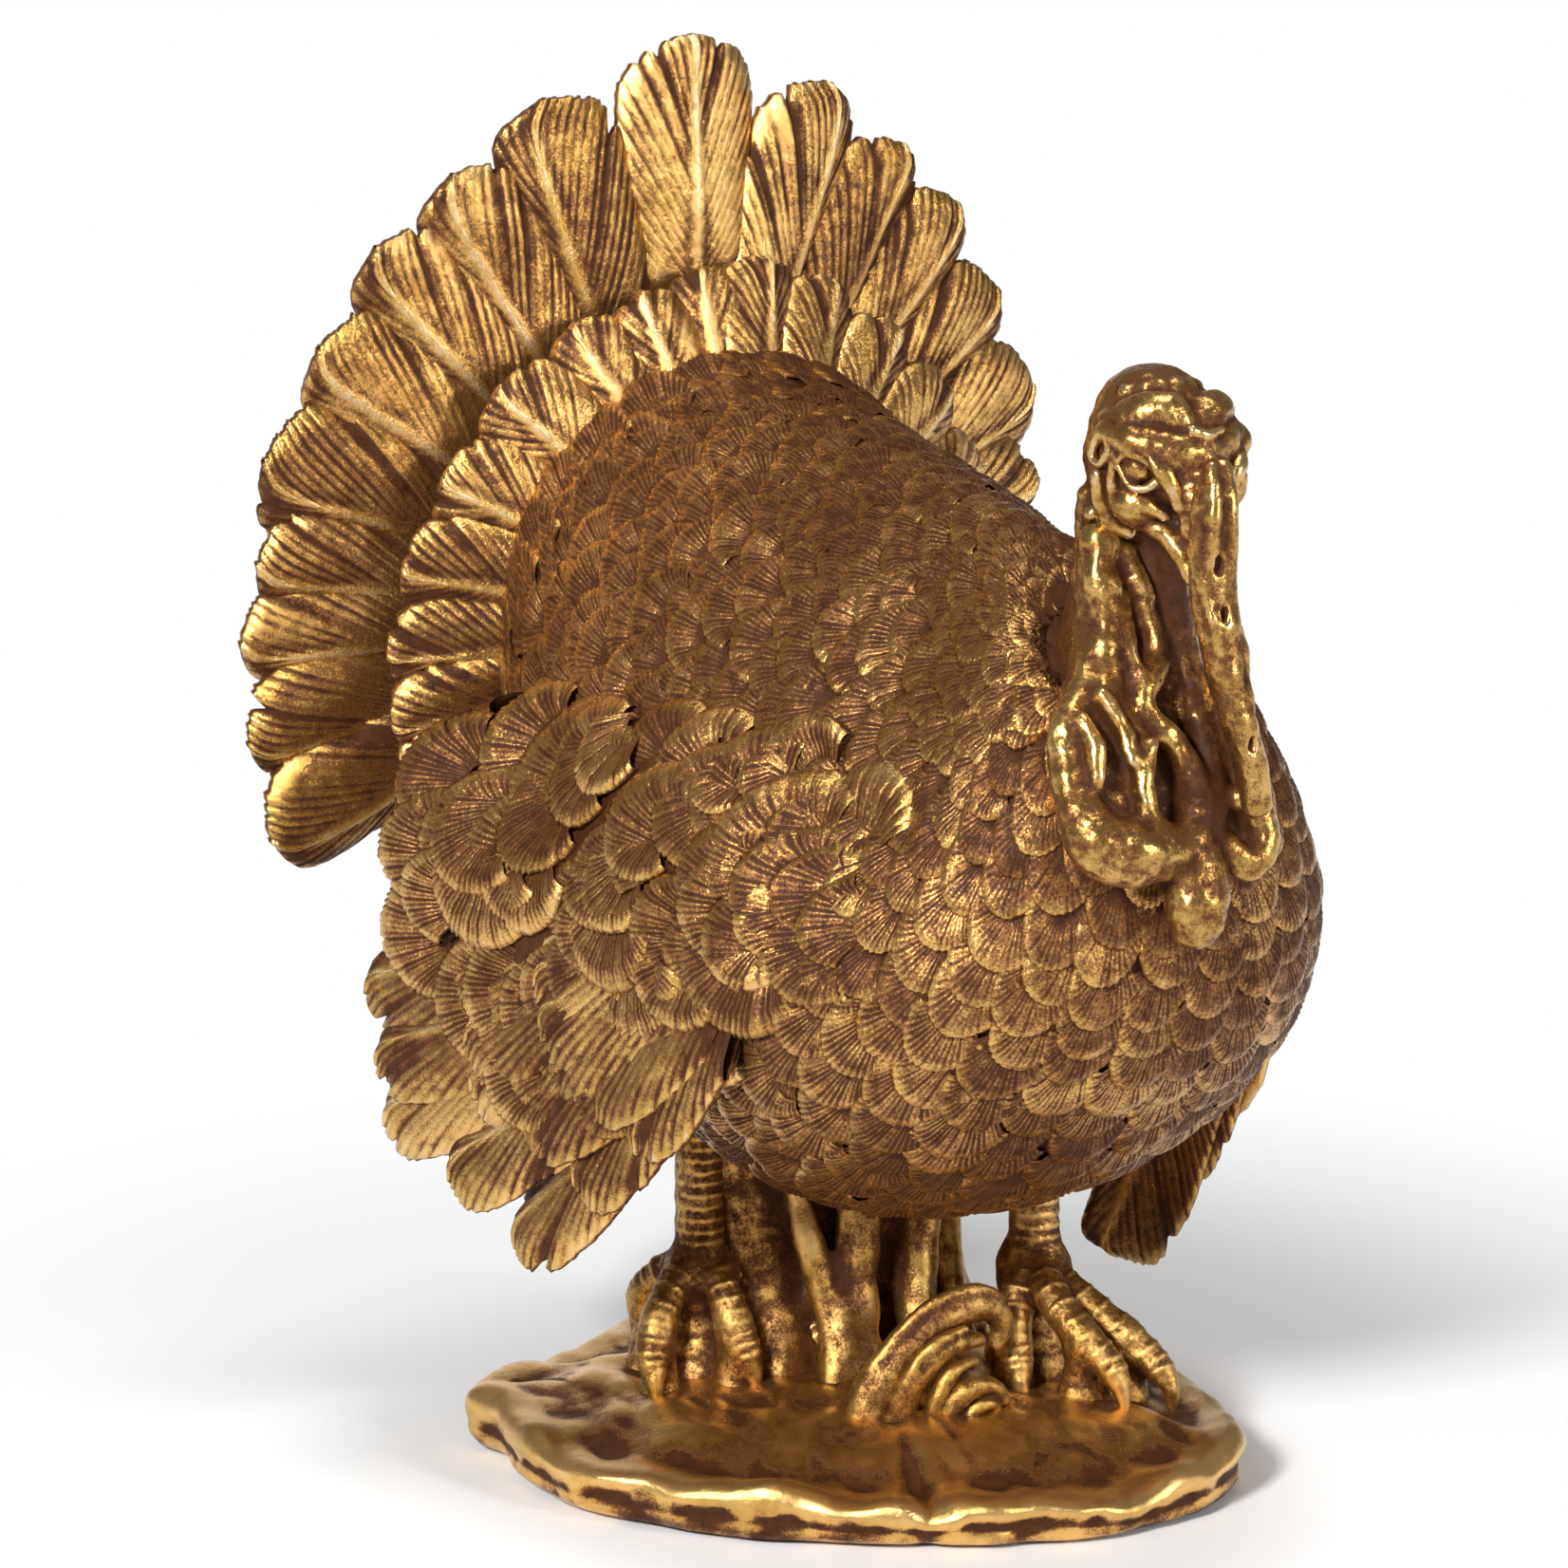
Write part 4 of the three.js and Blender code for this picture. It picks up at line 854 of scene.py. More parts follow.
class Clay:
    """A block of cells. Its field is negative inside the clay."""

    def __init__(self, low, high, cell):
        self.low, self.cell = np.array(low, float), cell
        counts = np.ceil((np.array(high) - self.low) / cell).astype(int) + 1
        self.axes = [self.low[i] + cell * np.arange(counts[i]) for i in range(3)]
        self.field = np.full(counts, 30.0)

    def window(self, low, high):
        spans = []
        for i in range(3):
            first = int(np.clip((low[i] - self.low[i]) // self.cell, 0, len(self.axes[i]) - 2))
            last = int(np.clip((high[i] - self.low[i]) // self.cell + 2, first + 2, len(self.axes[i])))
            spans.append(slice(first, last))
        grid = np.meshgrid(*(self.axes[i][spans[i]] for i in range(3)), indexing="ij", sparse=True)
        return tuple(spans), grid

    def work(self, distance, spans, blend, cut):
        old = self.field[spans]
        if cut:
            self.field[spans] = -soft_min(-old, distance, blend)
        else:
            self.field[spans] = soft_min(old, distance, blend)

    def tube(self, points, radii, blend=1.0, cut=False, steps=5):
        """A round form along a smooth path, with a radius at each point of it."""
        rows = np.column_stack([np.asarray(points, float), np.broadcast_to(radii, len(points))])
        path = spline(rows, np.linspace(0, 1, steps * (len(rows) - 1) + 1))
        pad = path[:, 3].max() + blend + 2 * self.cell
        spans, grid = self.window(path[:, :3].min(0) - pad, path[:, :3].max(0) + pad)
        nearest = np.full(np.broadcast_shapes(*(g.shape for g in grid)), 30.0)
        for a, b in zip(path[:-1], path[1:]):
            way = b[:3] - a[:3]
            apart = [(g - start, step) for g, start, step in zip(grid, a, way)]
            share = sum(far * step for far, step in apart)
            share = np.clip(share / max((way ** 2).sum(), 1e-9), 0, 1)
            gap = sum((far - share * step) ** 2 for far, step in apart)
            nearest = np.minimum(nearest, np.sqrt(gap) - mix(a[3], b[3], share))
        self.work(nearest, spans, blend, cut)

    def ball(self, centre, radii, blend=1.0, cut=False):
        radii = np.broadcast_to(np.asarray(radii, float), 3)
        centre = np.asarray(centre, float)
        pad = radii + blend + 2 * self.cell
        spans, grid = self.window(centre - pad, centre + pad)
        reach = np.sqrt(sum(((grid[i] - centre[i]) / radii[i]) ** 2 for i in range(3)))
        self.work((reach - 1) * radii.min(), spans, blend, cut)

    def pillar(self, centre, half, rises, shares, waves, blend=1.0):
        """An oval pillar, half widths scaled by shares at rises, with waves: count, height, twist."""
        x, y, z = np.meshgrid(*self.axes, indexing="ij", sparse=True)
        up = (z - rises[0]) / (rises[-1] - rises[0])
        share = np.interp(z, rises, shares)
        across, along = (x - centre[0]) / half[0], (y - centre[1]) / half[1]
        count, height, twist = waves
        wave = height * np.cos(count * np.arctan2(along, across) + twist * up) * (1 - up / 2)
        reach = np.hypot(across, along)
        distance = (reach - share) * min(half) - wave * np.clip(reach / share, 0, 1)
        self.work(distance, (slice(None),) * 3, blend, False)

    def surface(self):
        """Points and faces of the clay's skin, one point in each cell that it crosses."""
        field = self.field
        inside = field < 0
        corner = [(a, b, c) for a in (0, 1) for b in (0, 1) for c in (0, 1)]
        size = np.array(field.shape) - 1
        stacked = sum(
            inside[a:size[0] + a, b:size[1] + b, c:size[2] + c].astype(np.int8) for a, b, c in corner
        )
        crossed = (stacked > 0) & (stacked < 8)
        cells = np.argwhere(crossed)
        index = np.full(crossed.shape, -1)
        index[crossed] = np.arange(len(cells))
        total, hits = np.zeros((len(cells), 3)), np.zeros((len(cells), 1))
        for one in corner:
            for axis in range(3):
                if one[axis]:
                    continue
                other = np.array(one)
                other[axis] = 1
                start = field[tuple((cells + one).T)]
                end = field[tuple((cells + other).T)]
                crosses = (start < 0) != (end < 0)
                share = np.where(crosses, start / np.where(crosses, start - end, 1), 0)
                hit = np.array(one, float) + share[:, None] * (other - np.array(one))
                total += hit * crosses[:, None]
                hits += crosses[:, None]
        points = self.low + self.cell * (cells + total / hits)
        faces = []
        for axis in range(3):
            step, u, v = np.roll(np.eye(3, dtype=int), -axis, 0)
            first = [slice(0, n - s) for n, s in zip(field.shape, step)]
            second = [slice(s, n) for n, s in zip(field.shape, step)]
            here = inside[tuple(first)]
            at = np.argwhere(here != inside[tuple(second)])
            at = at[((at - u - v >= 0).all(1)) & ((at < size).all(1))]
            quad = np.stack([index[tuple((at - d).T)] for d in (0 * u, u, u + v, v)], -1)
            back = ~here[tuple(at.T)]
            quad[back] = quad[back][:, ::-1]
            faces.append(quad)
        return points, np.concatenate(faces)


# Down the hollow between snood and wattle, where painted shade darkens the gold.
HOLLOW_SHADE_PATH = np.array([
    (0.4, -114, 217), (1.4, -117, 207), (1.4, -120.5, 196), (0.8, -124, 185), (0, -128, 175),
    (-1, -131, 167),
], float)


def clay_piece(name, clay, material, slot, node, ripple=(), fine=0.35, wide=2.2, lift=0.0, hollow_shade=0.0):
    """Skins the clay, ripples the skin with lumps of (size, height) and works out its relief, with
    painted shade down the hollow between snood and wattle when hollow_shade is given.
    """
    points, faces = clay.surface()
    out = normals_of(points, faces)
    for order, (size, height) in enumerate(ripple):
        points = points + out * (noise(points, size, order + 3) * height)[:, None]
    near = np.clip(standing(points, faces, 3, fine), -0.6, 0.6)
    far = np.clip(standing(points, faces, 30, wide), -0.7, 0.6)
    relief = 0.5 + lift + 0.6 * near + 0.7 * far
    # Painted shade down the hollow between snood and wattle.
    if hollow_shade:
        path = spline(HOLLOW_SHADE_PATH, np.linspace(0, 1, 24))
        away = np.full(len(points), 99.0)
        for place in path:
            away = np.minimum(away, np.linalg.norm(points - place, axis=1))
        relief = relief - hollow_shade * (1 - smooth(2.5, 7.5, away))
    tone = 0.5 + 0.5 * noise(points, 14, 9)
    mesh_piece(name, points, faces, relief, tone, material, slot, node)


# Head, snood and wattle

# Forms that the head has on its right side and, mirrored, on its left: path, radii and blend.
CHEEKS = (
    ([(-13.9, -117.6, 236.4), (-13.3, -120.6, 238), (-11.2, -123.2, 236.8), (-9.6, -124.6, 234.4)],
     [0.7, 0.9, 0.9, 0.7], 0.3),
    ([(-14, -117.6, 235.2), (-13.4, -120.2, 232), (-11.4, -122.4, 231.2), (-9.6, -124.4, 233)],
     [0.7, 0.8, 0.9, 0.7], 0.3),
    ([(-14.2, -116.4, 237.6), (-13.9, -115.6, 231.5), (-12.2, -116, 227), (-8.6, -117, 222.8)],
     [0.8, 1.2, 1.3, 1.1], 1),
    ([(-14.6, -111.5, 233), (-13.4, -110.8, 227.5), (-10.8, -110.6, 223), (-7.2, -112, 220.6)],
     [1, 1.4, 1.5, 1.2], 1.3),
    ([(-14.6, -115, 240.4), (-14.9, -115.6, 237.8), (-15.2, -113.2, 235.2), (-15.3, -110.6, 236.4),
      (-15, -111.8, 240), (-14.5, -114.6, 240.8)], 0.75, 0.4),
    ([(-12.2, -119.2, 229.6), (-9.8, -121.8, 227.4), (-7, -123.4, 225.6)], [0.8, 1.2, 1], 1.4),
    ([(-6.8, -120.4, 222.4), (-4.8, -123, 223.6), (-2.6, -124.6, 222.4)], 0.8, 0.5, True),
    ([(-6.6, -119.4, 223), (-4.6, -124.4, 219.6), (-3.6, -128.4, 213.6)], [2.2, 2.2, 1.6], 1.4),
    ([(-7, -98.5, 186), (-6.4, -95.8, 203), (-7.6, -97.4, 215), (-10.6, -102, 227)], 2, 1.8),
    ([(-11.6, -100, 186), (-8.4, -99.6, 203), (-8.4, -101.4, 214), (-11.6, -105.5, 224)], 1.7, 1.4),
    ([(-9.6, -104.6, 188), (-8.4, -104.4, 203), (-8.6, -105.4, 213), (-10.4, -108.6, 222)], 1.6, 1.2),
)


def both(clay, points, radii, blend, cut=False):
    """The same form on the right side of the head and on the left."""
    for sign in (1, -1):
        clay.tube([(sign * x, y, z) for x, y, z in points], radii, blend, cut)


def build_head():
    clay = Clay((-21, -142, 172), (21, -80, 257), 0.45)
    clay.tube([(0, -97, 184), (0, -98, 197), (-0.5, -99.5, 208), (-0.5, -101, 218), (0, -106, 228)],
              [15, 11.4, 9, 8.8, 10], 3)
    clay.ball((0, -111, 236.5), (14, 15.4, 14.6), 4)
    clay.ball((0, -108.5, 245), (9.6, 10.5, 8.2), 3)
    for x, y, z in ((-6, -115, 249.4), (-3, -116.4, 250.2), (0.2, -116.8, 250.2), (3.6, -116.4, 249.8),
                    (-8.6, -112.4, 248.6), (6.6, -114.4, 248.8)):
        clay.ball((x, y, z), 1.1, 1.4)
    clay.tube([(-11, -111.5, 242.6), (-8.4, -117, 244.6), (-4.8, -120.4, 245.2), (-2.4, -122.6, 243.4)],
              [3, 4.3, 4.5, 3.2], 0.9)
    clay.tube([(11, -111.5, 241.8), (8.8, -116.8, 243.6), (5.6, -120.2, 244.6), (2.8, -122.8, 242.8)],
              [3, 4.3, 4.3, 3], 0.9)
    clay.tube([(-13.6, -113, 241.4), (-11.2, -118.6, 240.2), (-7.2, -123, 238.6), (-2.4, -125, 237.8),
               (1.4, -125.4, 238.6)], [2.2, 3.6, 4.2, 4.2, 3.2], 0.9)
    clay.tube([(13.6, -113, 241), (11.2, -118.8, 240), (7.4, -122.8, 239), (3.4, -124.8, 239)],
              [2.2, 3.3, 3.6, 2.8], 0.9)
    clay.tube([(0, -121, 236), (-0.5, -126, 229.5), (-1, -128, 222)], [7.6, 5.6, 4], 2)
    both(clay, [(-13.4, -119.2, 239), (-10.6, -124, 236.6), (-8, -126.2, 233.2), (-5.8, -126.8, 228)],
         [1, 1.5, 1.6, 1.2], 0.8)
    for sign in (1, -1):
        clay.ball((sign * 9.4, -117, 227.6), (4.8, 5.4, 5), 2)
        clay.ball((sign * 12.6, -121.8, 234.8), (3.4, 3.6, 3.6), 0.8, cut=True)
        clay.ball((sign * 11.2, -119.9, 234.8), 2.9, 0.2)
        clay.ball((sign * 15.4, -113, 237.8), 1.5, 0.6, cut=True)
    for form in CHEEKS:
        both(clay, *form)
    clay.tube([(1.5, -107, 224), (2.5, -108, 211), (4, -109, 197), (6, -113, 184)], [6, 6.4, 6.6, 7], 2)
    clay.ball((12.4, -119.8, 238.4), 3.4, 1.2)
    clay.ball((10.4, -120.4, 229.4), (3.8, 3.8, 4.8), 1.6)
    for rise, bow in ((234.4, 0), (232.4, -0.3), (230.6, -0.5)):
        fold = [(-4.6, -128, rise - 0.4), (0.4, -130.8 + bow, rise + 0.5), (5, -128.4, rise - 0.2)]
        clay.tube(fold, 0.9, 0.9)
    clay.tube([(0.5, -128, 244), (0.5, -124.8, 247.2), (0.5, -120, 249.4)], [1, 1, 0.6], 0.8, cut=True)
    clay.tube([(-3.4, -127.2, 243), (-0.6, -127.8, 241.8), (3.4, -127.2, 242.4)], [0.9, 1.1, 0.9], 1)
    clay_piece("head_carved", clay, flesh_gilt, "gilt_resin", "head_and_neck",
               ripple=((6, 0.45), (2.6, 0.26), (1.2, 0.1)), hollow_shade=0.5)


def build_snood():
    clay = Clay((-13, -143, 160), (18, -120, 246), 0.45)
    path = [(0.6, -126.5, 236), (0.2, -129.2, 231.5), (-0.6, -130.4, 226.5), (-0.8, -131, 219.3),
            (-0.6, -131.6, 211), (0.2, -132.6, 202.5), (1.4, -133.6, 194.2), (3.6, -134.4, 185.6),
            (6.4, -135, 176.8), (8.6, -134.4, 168.5)]
    clay.tube(path, [3.2, 4.7, 5, 4.8, 4.5, 4.2, 3.8, 3.4, 3.2, 3.2], 0.5)
    clay.tube([(-1.8, -131.4, 236), (-2.8, -134.2, 230), (-3.4, -134.8, 225), (-3.6, -134.4, 218)],
              [0.9, 1.3, 1.5, 1], 1.8)
    clay.tube([(1.6, -131.4, 236), (1.2, -134.4, 230), (0.8, -135, 224), (1.2, -134.6, 216)],
              [0.9, 1.2, 1.3, 0.9], 1.8)
    clay.tube([(-4.4, -132.8, 214), (-3.6, -135, 207), (-2, -135.6, 200)], [0.9, 1.1, 0.8], 0.9)
    clay.tube([(3.6, -134, 204), (4.4, -135.4, 196), (4.8, -136.2, 188)], [0.8, 1.1, 0.8], 0.9)
    clay.ball((-2.4, -136, 217.2), (1, 2.2, 2), 0.5, cut=True)
    clay.ball((-1.2, -136.2, 207.3), (0.7, 2, 1.7), 0.4, cut=True)
    clay.ball((4.6, -138, 181.5), (0.8, 1.6, 1.8), 0.5, cut=True)
    clay_piece("snood_carved", clay, flesh_gilt, "gilt_resin", "snood",
               ripple=((5, 0.4), (2.2, 0.2), (1.1, 0.08)))


def build_wattle():
    clay = Clay((-37, -144, 136), (20, -94, 222), 0.5)
    backing = (
        ([(-10.5, -106.5, 218), (-10.5, -107.3, 205), (-13, -111, 192), (-17.5, -115.5, 180),
          (-18, -119, 171),
          (-16, -121.5, 164)], [4.6, 5.2, 7, 9, 9.4, 7.4]),
        ([(-5.5, -106.5, 214), (-4.5, -108, 203), (-4, -111, 192), (-5.5, -115.5, 182), (-5, -120, 172),
          (-5, -123.5, 163), (-5.5, -127, 155)], [4, 4.4, 5.2, 6.4, 7.4, 7, 5]),
        ([(6, -108, 203), (7.5, -111.5, 190), (8, -117, 178), (7.5, -122, 168), (6, -125.5, 161)],
         [3.4, 4.6, 6.2, 7, 5.4]),
    )
    for points, radii in backing:
        clay.tube(points, radii, 3)
    clay.tube([(1.6, -110.5, 216), (2.4, -115, 202), (1.4, -121.5, 188), (0.3, -127, 176)],
              [4.2, 4.2, 3.2, 2], 1.6, cut=True)
    clay.tube([(-21, -127.4, 183), (-20, -129.6, 177)], [4.4, 4], 2.4, cut=True)
    clay.tube([(-8.6, -123, 183), (-8.4, -128, 174.5), (-8.2, -130.4, 168.5)],
    [3.2, 4.2, 3.2], 2, cut=True)
    clay.tube([(8.6, -122, 186), (8.8, -126.5, 178), (7.8, -130, 172)], [2.6, 2.8, 2.2], 1.6, cut=True)
    folds = (
        ([(-11.4, -109.4, 217.5), (-13.6, -110.3, 212), (-12.6, -111.6, 205), (-14.6, -112.6, 198),
          (-20.6, -115.6, 191), (-26.6, -118.9, 184.6), (-28.6, -122.5, 176.6), (-28, -126.1, 169),
          (-24.9, -128.2, 163)], [1.9, 2, 2, 2.2, 2.9, 3.4, 3.5, 3.6, 4]),
        ([(-11.3, -111.5, 211), (-13, -112.8, 203), (-14.5, -115.6, 196), (-17, -119.4, 189.4),
          (-14.4, -122, 184.6), (-11.1, -124, 181.4)], [1.4, 1.6, 1.8, 2.1, 2.1, 1.8]),
        ([(-5.9, -110.6, 216.3), (-4.4, -112.4, 210), (-3.1, -114.4, 202.3), (-3.8, -117.4, 194.9),
          (-8.6, -119.6, 190.3), (-9, -121.8, 186.2), (-4.4, -124.9, 180), (-2.4, -128.2, 174.4),
          (-3, -131, 168), (-6, -132.3, 161.5)], [1.5, 1.7, 2, 2.5, 2.4, 2.2, 2.5, 2.8, 3, 3.4]),
        ([(-8.8, -112.6, 207), (-9.2, -115.4, 199.6), (-8.4, -117.8, 194)], [1.3, 1.7, 1.5]),
        ([(3.6, -113.6, 197), (4.4, -117.6, 189.7), (3.2, -122.8, 181), (3.4, -126.9, 173.8),
          (1.3, -130.3, 166.8), (-1.2, -132.2, 159), (-2.6, -133.6, 152)],
          [1.5, 1.8, 2, 2.3, 2.5, 2.8, 3]),
        ([(-12.6, -127.4, 181.4), (-15, -129.4, 175.4), (-15.4, -131.4, 169.4), (-13.4, -132.8, 164)],
         [1.5, 1.9, 2.1, 2.6]),
        ([(12, -117, 194), (13, -122, 184), (12.2, -127, 176), (9.6, -130.8, 169)], [1.5, 2, 2.2, 2.4]),
        ([(-25, -122.6, 187), (-24.6, -126.4, 182), (-25.6, -128, 175)], [1.5, 1.8, 1.6]),
        ([(-20, -121.6, 191), (-17.6, -125.4, 185), (-17.4, -128.4, 179.4)], [1.5, 1.7, 1.5]),
    )
    for points, radii in folds:
        clay.tube(points, np.multiply(radii, 1.06), 2.6)
    clay.tube([(-28.6, -127, 169.5), (-25.6, -130, 163.6), (-19, -131.6, 161.4), (-11.5, -132.4, 161)],
              [4.4, 6.4, 6.6, 5.4], 2.4)
    clay.tube([(3.2, -132.4, 160), (7.4, -133.6, 156.4), (11.3, -132.6, 160.2), (10.6, -131.6, 165.8),
               (6.6, -131.2, 169)], [3, 3.7, 3.7, 3.2, 2.6], 1.8)
    clay.tube([(-4.4, -131.6, 162), (-5.2, -133.6, 154.6), (-5.6, -134.2, 148.6), (-5.8, -133.8, 145)],
              [4.2, 6, 5.9, 4.6], 1.8)
    clay.ball((-7.6, -136.4, 166.4), (1.3, 2.2, 1.1), 0.7, cut=True)
    clay.ball((-12.2, -119.4, 186.8), (1.6, 2.2, 0.9), 0.7, cut=True)
    clay.ball((-7.6, -118.8, 198), (0.9, 2.2, 2.6), 0.8, cut=True)
    clay.ball((-19.5, -130.6, 171.6), (2.4, 1.6, 0.9), 0.8, cut=True)
    clay.ball((7.2, -136.6, 162), (2.2, 3.2, 1.9), 0.9, cut=True)
    clay_piece("wattle_carved", clay, flesh_gilt, "gilt_resin", "wattle",
               ripple=((6, 0.5), (2.6, 0.3), (1.2, 0.1)), hollow_shade=0.5)


# Legs

def scutes(clay, path, radii, count, first=0.12, last=0.92):
    """Raised plates across the upper side of a toe or the front of a shank."""
    rows = np.column_stack([np.asarray(path, float), radii])
    for share in np.linspace(first, last, count):
        x, y, z, r = spline(rows, np.array(share))
        before, after = spline(rows, np.array([share - 0.02, min(share + 0.02, 1)]))[:, :3]
        ahead = unit(after - before)
        top = np.array([0, -0.5, 1.0]) if abs(ahead[2]) < 0.9 else np.array([0, -1.0, 0])
        top = unit(top - ahead * (top @ ahead))
        across = np.cross(ahead, top)
        arc = [
            np.array([x, y, z]) + (r - 0.15) * (top * math.cos(a) + across * math.sin(a))
            for a in np.radians((-78, -40, 0, 40, 78))
        ]
        clay.tube(arc, [0.35, 0.56, 0.64, 0.56, 0.35], 0.4, steps=2)


RIGHT_TOES = (
    [(-35, 7, 42), (-41, 6, 39.5), (-48, 2, 33), (-51.6, -0.6, 26), (-52, -2.6, 22.5)],
    [(-34, 5, 42), (-33.8, -1, 37.5), (-33.6, -5, 32), (-32.4, -7.8, 27), (-31.6, -9.2, 23)],
    [(-31, 6, 41), (-23, 4.6, 38), (-16.2, 0.8, 32.5), (-12.9, -4.4, 26.5), (-12, -7, 23)],
    [(-35, 11, 41), (-38, 17, 37.5), (-39.5, 21, 33), (-40, 23, 30), (-40, 24, 28)],
)
LEFT_TOES = (
    [(28, -31, 40), (22.4, -33.4, 36), (18.8, -36.6, 29), (17.5, -40, 23.5), (17.1, -41.6, 21)],
    [(29, -33, 40), (26, -41, 37), (27.2, -50, 31), (30.3, -56, 25.5), (31.3, -58.8, 22)],
    [(31, -32, 39), (34.4, -40, 34.4), (40.2, -48.4, 28), (44, -54.4, 22.6), (45.2, -57, 19.8)],
    [(31, -25, 40), (33, -20, 36), (34, -16.6, 31), (34.2, -14.6, 27.6), (34.2, -13.6, 25.6)],
)


def build_leg(name, place, toes, low, high):
    clay = Clay(low, high, 0.5)
    x, y = place
    shank = [(x, y, 36), (x, y, 46), (x, y, 62), (x, y - 0.5, 78), (x, y - 1, 92)]
    girth = [6.2, 5.7, 5.4, 6.0, 8.0]
    clay.tube(shank, girth, 2)
    clay.tube([(x + 1, y + 5, 40), (x + 1, y + 5.4, 60), (x + 1, y + 6, 84)], [2.4, 2.2, 2.6], 1.2)
    clay.ball((x, y, 40), (8.2, 8, 6), 4)
    clay.tube([(x, y, 36), (x, y, 14)], [6, 12], 4)
    scutes(clay, shank, girth, 17, 0.2, 0.86)
    for toe in toes:
        radii = [4.2, 4.0, 3.9, 3.5, 2.6]
        clay.tube(toe, radii, 1.8)
        ground = [toe[2], (toe[2][0], toe[2][1], 20), (toe[2][0], toe[2][1], 13)]
        clay.tube(ground, [3.0, 4.0, 6.0], 3)
        scutes(clay, toe, radii, 8, 0.14, 0.86)
        end, before = np.array(toe[-1]), np.array(toe[-2])
        way = unit(end - before)
        claw = [end - way * 1.5, end + way * 1.6 + (0, 0, -0.6), end + way * 2.6 + (0, 0, -3.4),
                end + way * 2.9 + (0, 0, -6.2)]
        clay.tube(claw, [2.5, 2.1, 1.4, 0.6], 0.5)
    clay_piece(name + "_carved", clay, wood_gilt, "dark_gilt_resin", name,
               ripple=((3, 0.2), (1.2, 0.1)), lift=0.08)


# Trunk, leaves and ground

def build_trunk():
    clay = Clay((-42, -27, 10), (52, 54, 92), 0.75)
    clay.pillar((5, 15), (36.5, 27.5), (12.5, 27.6, 42.7, 57.8, 72.9, 88),
    (1, 0.82, 0.74, 0.74, 0.8, 0.92),
                (9, 3.4, math.radians(140)))
    ridges = [
        ([(-20, 2, 88), (-19, -2, 70), (-17, -7, 52), (-14.5, -11, 38), (-13.5, -15, 28),
          (-16, -18, 15)], 3.4),
        ([(-8, -8, 84), (-7.2, -9.5, 62), (-6.6, -11, 47), (-8.4, -12.6, 34), (-11, -15.5, 25),
          (-11, -20, 14)], 3.2),
        ([(-1.2, -9, 84), (-1.2, -10, 60), (-2.6, -11.4, 47), (-5.0, -13.4, 36), (-7, -18, 24),
          (-5, -24, 14)], 2.8),
        ([(12, -9, 80), (13, -9.4, 62), (11.6, -10.4, 48), (9.6, -12.4, 36), (8, -16.4, 25),
          (9, -22, 14)], 4.6),
        ([(27, 1, 84), (25, -2, 62), (22, -5, 46), (21, -9, 30), (24, -13, 14)], 3.4),
        ([(-31, 10, 84), (-28, 7, 62), (-26, 5, 46), (-26, 2, 30), (-28, -3, 14)], 3.2),
        ([(-25, 8, 86), (-23, 6, 62), (-21, 4, 44), (-20, 0, 30), (-22, -6, 14)], 6.0),
    ]
    for points, radius in ridges:
        clay.tube(points, radius, 5.5)
    for points, radius in (
        ([(-25, -3, 82), (-24, -4, 66), (-22, -5, 50), (-20, -7, 36)], 3.6),
        ([(19, -9, 66), (18.6, -10, 52), (17, -13, 36)], 3.0),
        ([(-12.4, -13, 74), (-11.6, -14, 56), (-11.4, -16, 40)], 1.8),
        ([(4.4, -12.4, 74), (4.4, -13, 56), (2.4, -15.4, 40)], 2.0),
    ):
        clay.tube(points, 0.75 * radius, 3.0, cut=True)
    clay_piece("trunk_carved", clay, wood_gilt, "dark_gilt_resin", "trunk",
               ripple=((10, 0.8), (4, 0.35), (1.6, 0.1)), fine=0.45, wide=3.0)


LEAVES = (
    (
        ([(-20.4, -36, 12), (-19.4, -37.4, 19), (-15.6, -39, 27), (-8.6, -40.6, 34.4),
          (-2.4, -42, 38.4),
          (4, -43, 39.8), (9, -43.4, 38.2), (11, -43.6, 34), (9.6, -43.6, 30)],
         [5.6, 5, 4.8, 4.6, 4.3, 3.8, 3.2, 2.6, 1.6]),
        ([(-24, -36, 12), (-22.6, -37.6, 20), (-18.4, -39.6, 29.4), (-11, -41.4, 37.8),
          (-3.6, -42.8, 42.4),
          (5, -43.6, 43.2), (10.6, -43.8, 40.4)], [1.7, 1.6, 1.6, 1.6, 1.5, 1.4, 1.1]),
    ),
    (
        ([(-15, -41, 12), (-14.2, -42.6, 20), (-12, -44.4, 27), (-7.6, -45.4, 31.6), (-2, -45.8, 33.4),
          (3.6, -45.4, 32.6)], [3.8, 3.5, 3.3, 3, 2.5, 1.7]),
        ([(-16.4, -41.6, 12), (-15.8, -43.4, 21), (-13.2, -45.8, 29.4), (-7.4, -46.8, 34.6),
          (-0.6, -46.8, 36.2)],
         [1.4, 1.4, 1.4, 1.3, 1]),
        ([(-9, -45, 13), (-7.8, -47, 22), (-3.8, -47.6, 27.6), (1.6, -47, 28.6)], [2.2, 2, 1.7, 1.1]),
    ),
    (
        ([(-6, -46, 12), (-5.2, -47.4, 18), (-3, -48.8, 22.4), (1.4, -50, 24), (5, -50.6, 22.8),
          (7, -50.8, 20)], [2.9, 2.7, 2.5, 2.2, 1.8, 1.3]),
        ([(-2, -48, 12), (-1, -49.8, 17.6), (2.4, -51, 20), (5, -51, 19)], [2, 1.8, 1.5, 1]),
        ([(0, -47, 12), (1, -47.6, 19)], [4.4, 2.6]),
    ),
)


def build_leaf(order):
    forms = LEAVES[order]
    places = np.concatenate([np.array(points) for points, _ in forms])
    low, high = places.min(0) - 8, places.max(0) + 8
    clay = Clay(low, high, 0.45)
    for points, radii in forms:
        clay.tube(points, radii, 0.8)
    clay_piece("leaf_carved_%d" % (order + 1), clay, wood_gilt, "dark_gilt_resin",
               "ground_leaf_%d" % (order + 1), ripple=((3, 0.2), (1.2, 0.08)), lift=0.05)


